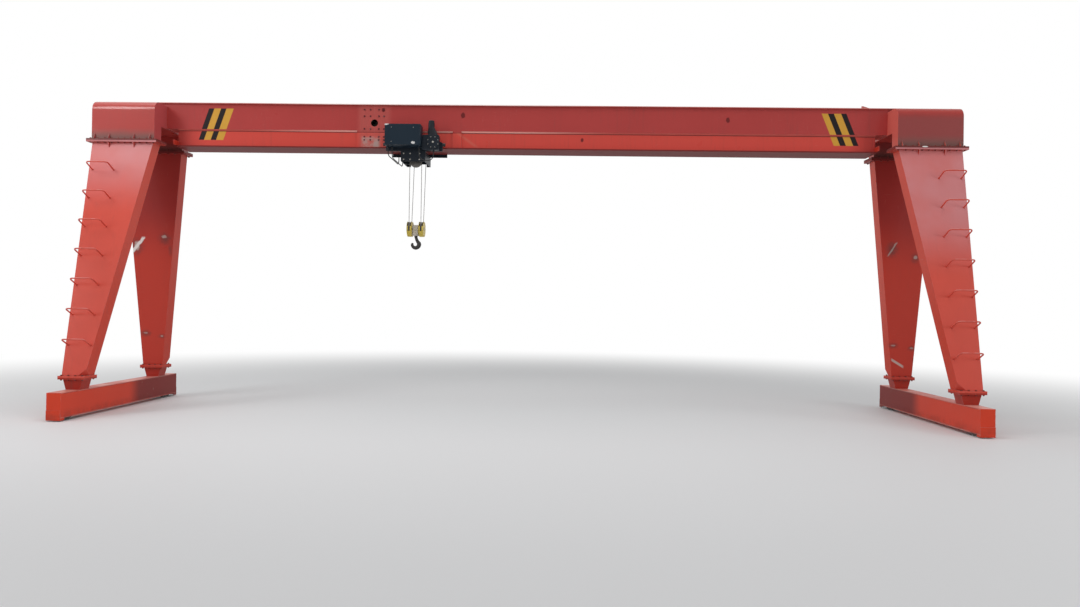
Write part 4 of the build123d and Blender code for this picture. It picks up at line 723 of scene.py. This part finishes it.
def drumRopeTree():
    tree, entry, leave = newGrower("drumRope", ropeInputs + [
        ("Coil Radius", "Float", 0.1195), ("Turns", "Float", 9.0), ("Width", "Float", 0.09), ("Start", "Vector"),
        ("Mirror", "Bool", False)])
    coil = geo(tree, "CurveSpiral", {
        "Resolution": 44, "Rotations": entry["Turns"], "Start Radius": entry["Coil Radius"],
        "End Radius": entry["Coil Radius"], "Height": entry["Width"], "Reverse": entry["Mirror"]})
    turned = geo(tree, "Transform", {"Geometry": laidRope(tree, coil, entry), "Translation": entry["Start"],
                                     "Rotation": (0.0, math.pi / 2, 0.0)})
    return plain(tree, turned, entry, leave)


boltHeads, weldBeads, ropeLay, drumCoil = boltTree(), weldTree(), ropeTree(), drumRopeTree()
print("geometry trees built")


def ring(count, radius, centre, shift=0.5):  # pairs of numbers on a circle
    angles = [math.tau * (number + shift) / count for number in range(count)]
    return [(centre[0] + radius * math.cos(angle), centre[1] + radius * math.sin(angle)) for angle in angles]


joint = {"saddleX": (5.49, 5.595, 5.7, 5.835, 5.925, 6.02, 6.12, 6.225, 6.33, 6.44), "saddleY": (0.3, 0.55),
         "saddleZ": (4.07, 4.02), "carriageX": 6.25, "footCentre": 1.06, "footX": (0.05, 0.15), "footY": 0.131,
         "footZ": (0.585, 0.535), "boltSize": 0.015}


def boltPair(x, y, levels):  # one above the joint and one below it
    return [((x, y, level), (0, 0, way), joint["boltSize"]) for level, way in zip(levels, (1, -1))]


gantryBolts, spliceBolts, bearingBolts = [], [], []
for way in (-1, 1):
    for across in joint["saddleX"]:
        for row in joint["saddleY"]:
            for side in (-1, 1):
                gantryBolts += boltPair(way * across, side * row, joint["saddleZ"])
    for side in (-1, 1):
        for across in joint["footX"]:
            for inout in (-1, 1):
                for row in (-1, 1):
                    gantryBolts += boltPair(way * (joint["carriageX"] + inout * across),
                                            side * joint["footCentre"] + row * joint["footY"], joint["footZ"])

splice = {"columns": (-2.434, -2.342, -2.212, -2.134), "rows": (4.633, 4.534, 4.219, 4.171, 4.34), "face": 0.16,
          "boltSize": 0.013}
for across in splice["columns"]:
    for row in splice["rows"]:
        for side in (-1, 1):
            spliceBolts.append(((across, side * splice["face"], row), (0, side, 0), splice["boltSize"]))

bearing = {"face": 6.362, "centre": (-1.34, 0.14), "circle": 0.045, "boltSize": 0.008, "screws": 4}
for way in (-1, 1):
    for pair in ring(bearing["screws"], bearing["circle"], bearing["centre"]):
        bearingBolts.append(((way * bearing["face"], *pair), (way, 0, 0), bearing["boltSize"]))

hoist = {"x": -1.645, "cabinetFace": -0.452, "coverX": (-1.955, -1.625), "coverZ": (4.302, 4.088), "screwSize": 0.0065,
         "driveFace": -0.362, "driveCentre": (-1.345, 4.105), "driveCircle": 0.082, "driveScrews": 8, "hubSize": 0.017,
         "yokeBolts": ((-0.16, -0.06, 0.08), (-0.178, 0.142)), "plateFace": 0.252, "yokeZ": (3.86, 3.95),
         "yokeBolt": 0.012}
hoistBolts = [((across, hoist["cabinetFace"], row), (0, -1, 0), hoist["screwSize"])
              for row in hoist["coverZ"] for across in hoist["coverX"]]
driveX, driveZ = hoist["driveCentre"]
for across, row in ring(hoist["driveScrews"], hoist["driveCircle"], hoist["driveCentre"]):
    hoistBolts.append(((across, hoist["driveFace"], row), (0, -1, 0), hoist["screwSize"]))
for side, columns in zip((-1, 1), hoist["yokeBolts"]):
    for across in columns:
        for row in hoist["yokeZ"]:
            hoistBolts.append(((hoist["x"] + across, side * hoist["plateFace"], row), (0, side, 0), hoist["yokeBolt"]))
hoistBolts.append(((driveX, hoist["driveFace"], driveZ), (0, -1, 0), hoist["hubSize"]))

for name, bolts, finishName, body, slotName in (
        ("flange_bolts", gantryBolts, "boltPaint", "gantry", "crane_paint"),
        ("splice_bolts", spliceBolts, "darkBolt", "gantry", "crane_paint"),
        ("bearing_bolts", bearingBolts, "bolt", "gantry", "steel"),
        ("trolley_bolts", hoistBolts, "bolt", "trolley", "steel")):
    grow(name, boltPoints(name, bolts), boltHeads, {"Material": finishes[finishName]}, body)
print("bolts set:", len(gantryBolts) + len(spliceBolts) + len(bearingBolts) + len(hoistBolts))


def openRun(*points):
    return list(points), False


def rectangle(low, high, level):  # a closed run at one height
    corners = (low, (high[0], low[1]), high, (low[0], high[1]))
    return [(*corner, level) for corner in corners], True


seams = {"girderEnd": 5.49, "webFace": 0.16, "topPlate": 4.7, "lowerFace": 0.14, "runwayTop": 4.05, "runwayEnd": 5.3,
         "fullWeb": ((-2.545, -2.015), (-1.0775, -0.9425)), "columnY": (0.325, 0.525), "saddleX": (5.492, 6.438),
         "saddleBase": 4.07, "saddleTop": 4.62, "bevelTop": 4.318, "footX": (0.173, 0.155), "footY": 0.113,
         "foot": 0.585, "legTopX": (5.505, 6.424), "legTop": 4.02, "seatX": 0.1, "seatY": 0.105, "seat": 0.39,
         "capZ": (0.057, 0.378), "webX": 0.1, "carriageEnd": 1.5, "steps": 7, "stepZ": 1.013, "stepPitch": 0.43,
         "stepX": (6.208, 0.159), "stepRing": 0.0115, "ringSides": 10, "legFront": 1.173, "legLean": 0.18864}
wires = []
for side in (-1, 1):
    face, lower, runway = side * seams["webFace"], side * seams["lowerFace"], seams["runwayTop"]
    end, top = seams["girderEnd"], seams["topPlate"]
    wires.append(openRun((-end, face, top), (end, face, top)))
    line = [(-seams["runwayEnd"], lower, runway)]
    for left, right in seams["fullWeb"]:
        line += [(left, lower, runway), (left, face, runway), (right, face, runway), (right, lower, runway)]
    wires.append(openRun(*line, (seams["runwayEnd"], lower, runway)))
    near, far = (side * part for part in seams["columnY"])
    centre = side * joint["footCentre"]
    for way in (-1, 1):
        inner, outer = (way * part for part in seams["saddleX"])
        wires.append(rectangle((inner, near), (outer, far), seams["saddleBase"]))
        for across in (inner, outer):
            wires.append(openRun((across, face, seams["bevelTop"]), (across, face, seams["saddleTop"])))
        carriage = way * joint["carriageX"]
        inner, outer = carriage - way * seams["footX"][0], carriage + way * seams["footX"][1]
        wires.append(rectangle((inner, centre - seams["footY"]), (outer, centre + seams["footY"]), seams["foot"]))
        inner, outer = (way * part for part in seams["legTopX"])
        wires.append(rectangle((inner, near), (outer, far), seams["legTop"]))
        wires.append(rectangle((carriage - seams["seatX"], centre - seams["seatY"]),
                               (carriage + seams["seatX"], centre + seams["seatY"]), seams["seat"]))
for way in (-1, 1):
    for side in (-1, 1):
        for level in seams["capZ"]:
            across = way * joint["carriageX"] + side * seams["webX"]
            wires.append(openRun((across, -seams["carriageEnd"], level), (across, seams["carriageEnd"], level)))
    for number in range(seams["steps"]):
        level = seams["stepZ"] + seams["stepPitch"] * number
        front = seams["legLean"] * (level - seams["foot"]) - seams["legFront"]
        for side in (-1, 1):
            across = way * seams["stepX"][0] + side * seams["stepX"][1]
            ends = ring(seams["ringSides"], seams["stepRing"], (across, level), shift=0)
            wires.append(([(x, front, z) for x, z in ends], True))
seamMesh = wireMesh("gantry_welds", wires)
grow("gantry_welds", seamMesh, weldBeads, {"Material": finishes["weld"]}, "gantry")
print("welds laid:", len(wires))

falls = {"spread": 0.0915, "front": ((-0.1045, 2.83), (-0.1045, 3.864)), "rear": ((0.1034, 2.8149), (0.3118, 4.2373))}
for name in ("front", "rear"):
    low, high = falls[name]
    lines = [openRun(*[(hoist["x"] + way * falls["spread"], *end) for end in (low, high)]) for way in (-1, 1)]
    node = "rope_falls_" + name
    piece = grow("laid_" + node, wireMesh(node, lines), ropeLay, {"Material": finishes["rope"]}, None)
    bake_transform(piece)
    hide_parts(node)

drum = {"centre": (0.43, 4.22), "radius": 0.1195, "outer": 0.186, "inner": 0.0915, "pitch": 0.0103}
width = drum["outer"] - drum["inner"]
for name, start, mirror in (("drum_rope_left", -drum["outer"], False), ("drum_rope_right", drum["inner"], True)):
    values = {"Material": finishes["rope"], "Coil Radius": drum["radius"], "Turns": float(round(width / drum["pitch"])),
              "Width": width, "Start": (hoist["x"] + start, *drum["centre"]), "Mirror": mirror}
    grow(name, bpy.data.meshes.new(name), drumCoil, values, "trolley")
print("ropes laid")


def seen(tree):  # 1 where the camera, or a reflection, sees the backdrop
    rays = addNode(tree, "ShaderNodeLightPath").outputs
    mirrored = calc(tree, "MAXIMUM", rays["Is Glossy Ray"], rays["Is Transmission Ray"])
    return calc(tree, "MAXIMUM", rays["Is Camera Ray"], mirrored)


studio = {"half": 60.0, "floor": (0.78, 0.79, 0.8), "roughness": 0.7, "fade": (6.5, 18.0), "white": (1.0, 1.0, 1.0),
          "sky": 0.36}
half = studio["half"]
floorMesh = bpy.data.meshes.new("floor")
floorMesh.from_pydata([(-half, -half, 0), (half, -half, 0), (half, half, 0), (-half, half, 0)], [], [(0, 1, 2, 3)])
floor = bpy.data.objects.new("floor", floorMesh)
bpy.context.scene.collection.objects.link(floor)
floorPaint = bpy.data.materials.new("paleFloor")
floorPaint.use_nodes = True
floorTree = floorPaint.node_tree
floorShader = floorTree.nodes["Principled BSDF"]
feed(floorTree, floorShader.inputs["Base Color"], studio["floor"])
feed(floorTree, floorShader.inputs["Roughness"], studio["roughness"])
away = vectorCalc(floorTree, "LENGTH", addNode(floorTree, "ShaderNodeTexCoord").outputs["Object"], out="Value")
fade = times(floorTree, step(floorTree, away, *studio["fade"]), seen(floorTree))
whiteness = addNode(floorTree, "ShaderNodeEmission", {"Color": studio["white"], "Strength": 1.0}).outputs[0]
blended = addNode(floorTree, "ShaderNodeMixShader", {0: fade, 1: floorShader.outputs[0], 2: whiteness}).outputs[0]
feed(floorTree, floorTree.nodes["Material Output"].inputs["Surface"], blended)
floor.data.materials.append(floorPaint)

world = bpy.data.worlds.new("studio")
bpy.context.scene.world = world
world.use_nodes = True
sky = world.node_tree
sky.nodes.clear()
strength = mixValue(sky, seen(sky), studio["sky"], 1.0)
backdrop = addNode(sky, "ShaderNodeBackground", {"Color": studio["white"], "Strength": strength}).outputs[0]
addNode(sky, "ShaderNodeOutputWorld", {"Surface": backdrop})

lamps = {
    "overhead": {"power": 640.0, "size": (16.0, 8.0), "place": (-1.0, -2.0, 11.0), "aim": (0.0, 0.0, 0.0)},
    "left": {"power": 165.0, "size": (4.0, 3.0), "place": (-13.0, -7.5, 4.5), "aim": (-3.0, 0.0, 2.6)},
    "right": {"power": 190.0, "size": (4.0, 3.0), "place": (13.0, -7.5, 4.5), "aim": (3.0, 0.0, 2.6)},
    "gleam": {"power": 95.0, "size": (1.3, 2.0), "place": (-8.3, -4.0, 6.9), "aim": (-5.97, -0.52, 4.54)},
}
for name, values in lamps.items():
    lamp = bpy.data.lights.new(name, "AREA")
    lamp.shape = "RECTANGLE"
    lamp.size, lamp.size_y = values["size"]
    lamp.energy = values["power"]
    holder = bpy.data.objects.new(name, lamp)
    bpy.context.scene.collection.objects.link(holder)
    holder.location = values["place"]
    holder.rotation_euler = (Vector(values["aim"]) - Vector(values["place"])).to_track_quat("-Z", "Y").to_euler()

shot = {"place": (0.5626, -11.7784, 1.6454), "yaw": -1.3254, "pitch": 0.2886, "roll": 0.8278, "lens": 25.471,
        "sensor": 36.0, "reach": 200.0}
camera = bpy.data.objects.new("camera", bpy.data.cameras.new("camera"))
bpy.context.scene.collection.objects.link(camera)
camera.data.sensor_width = shot["sensor"]
camera.data.sensor_fit = "HORIZONTAL"
camera.data.lens = shot["lens"]
camera.data.clip_end = shot["reach"]
yaw, pitch, roll = (math.radians(shot[part]) for part in ("yaw", "pitch", "roll"))
ahead = Vector((math.sin(yaw) * math.cos(pitch), math.cos(yaw) * math.cos(pitch), math.sin(pitch)))
rightward = Vector((math.cos(yaw), -math.sin(yaw), 0.0))
upright = rightward.cross(ahead)
sideways = math.cos(roll) * rightward + math.sin(roll) * upright
skyward = -math.sin(roll) * rightward + math.cos(roll) * upright
camera.matrix_world = Matrix.Translation(shot["place"]) @ Matrix((sideways, skyward, -ahead)).transposed().to_4x4()
bpy.context.scene.camera = camera
bpy.context.scene.view_settings.view_transform = "Standard"
print("floor, light and camera set")
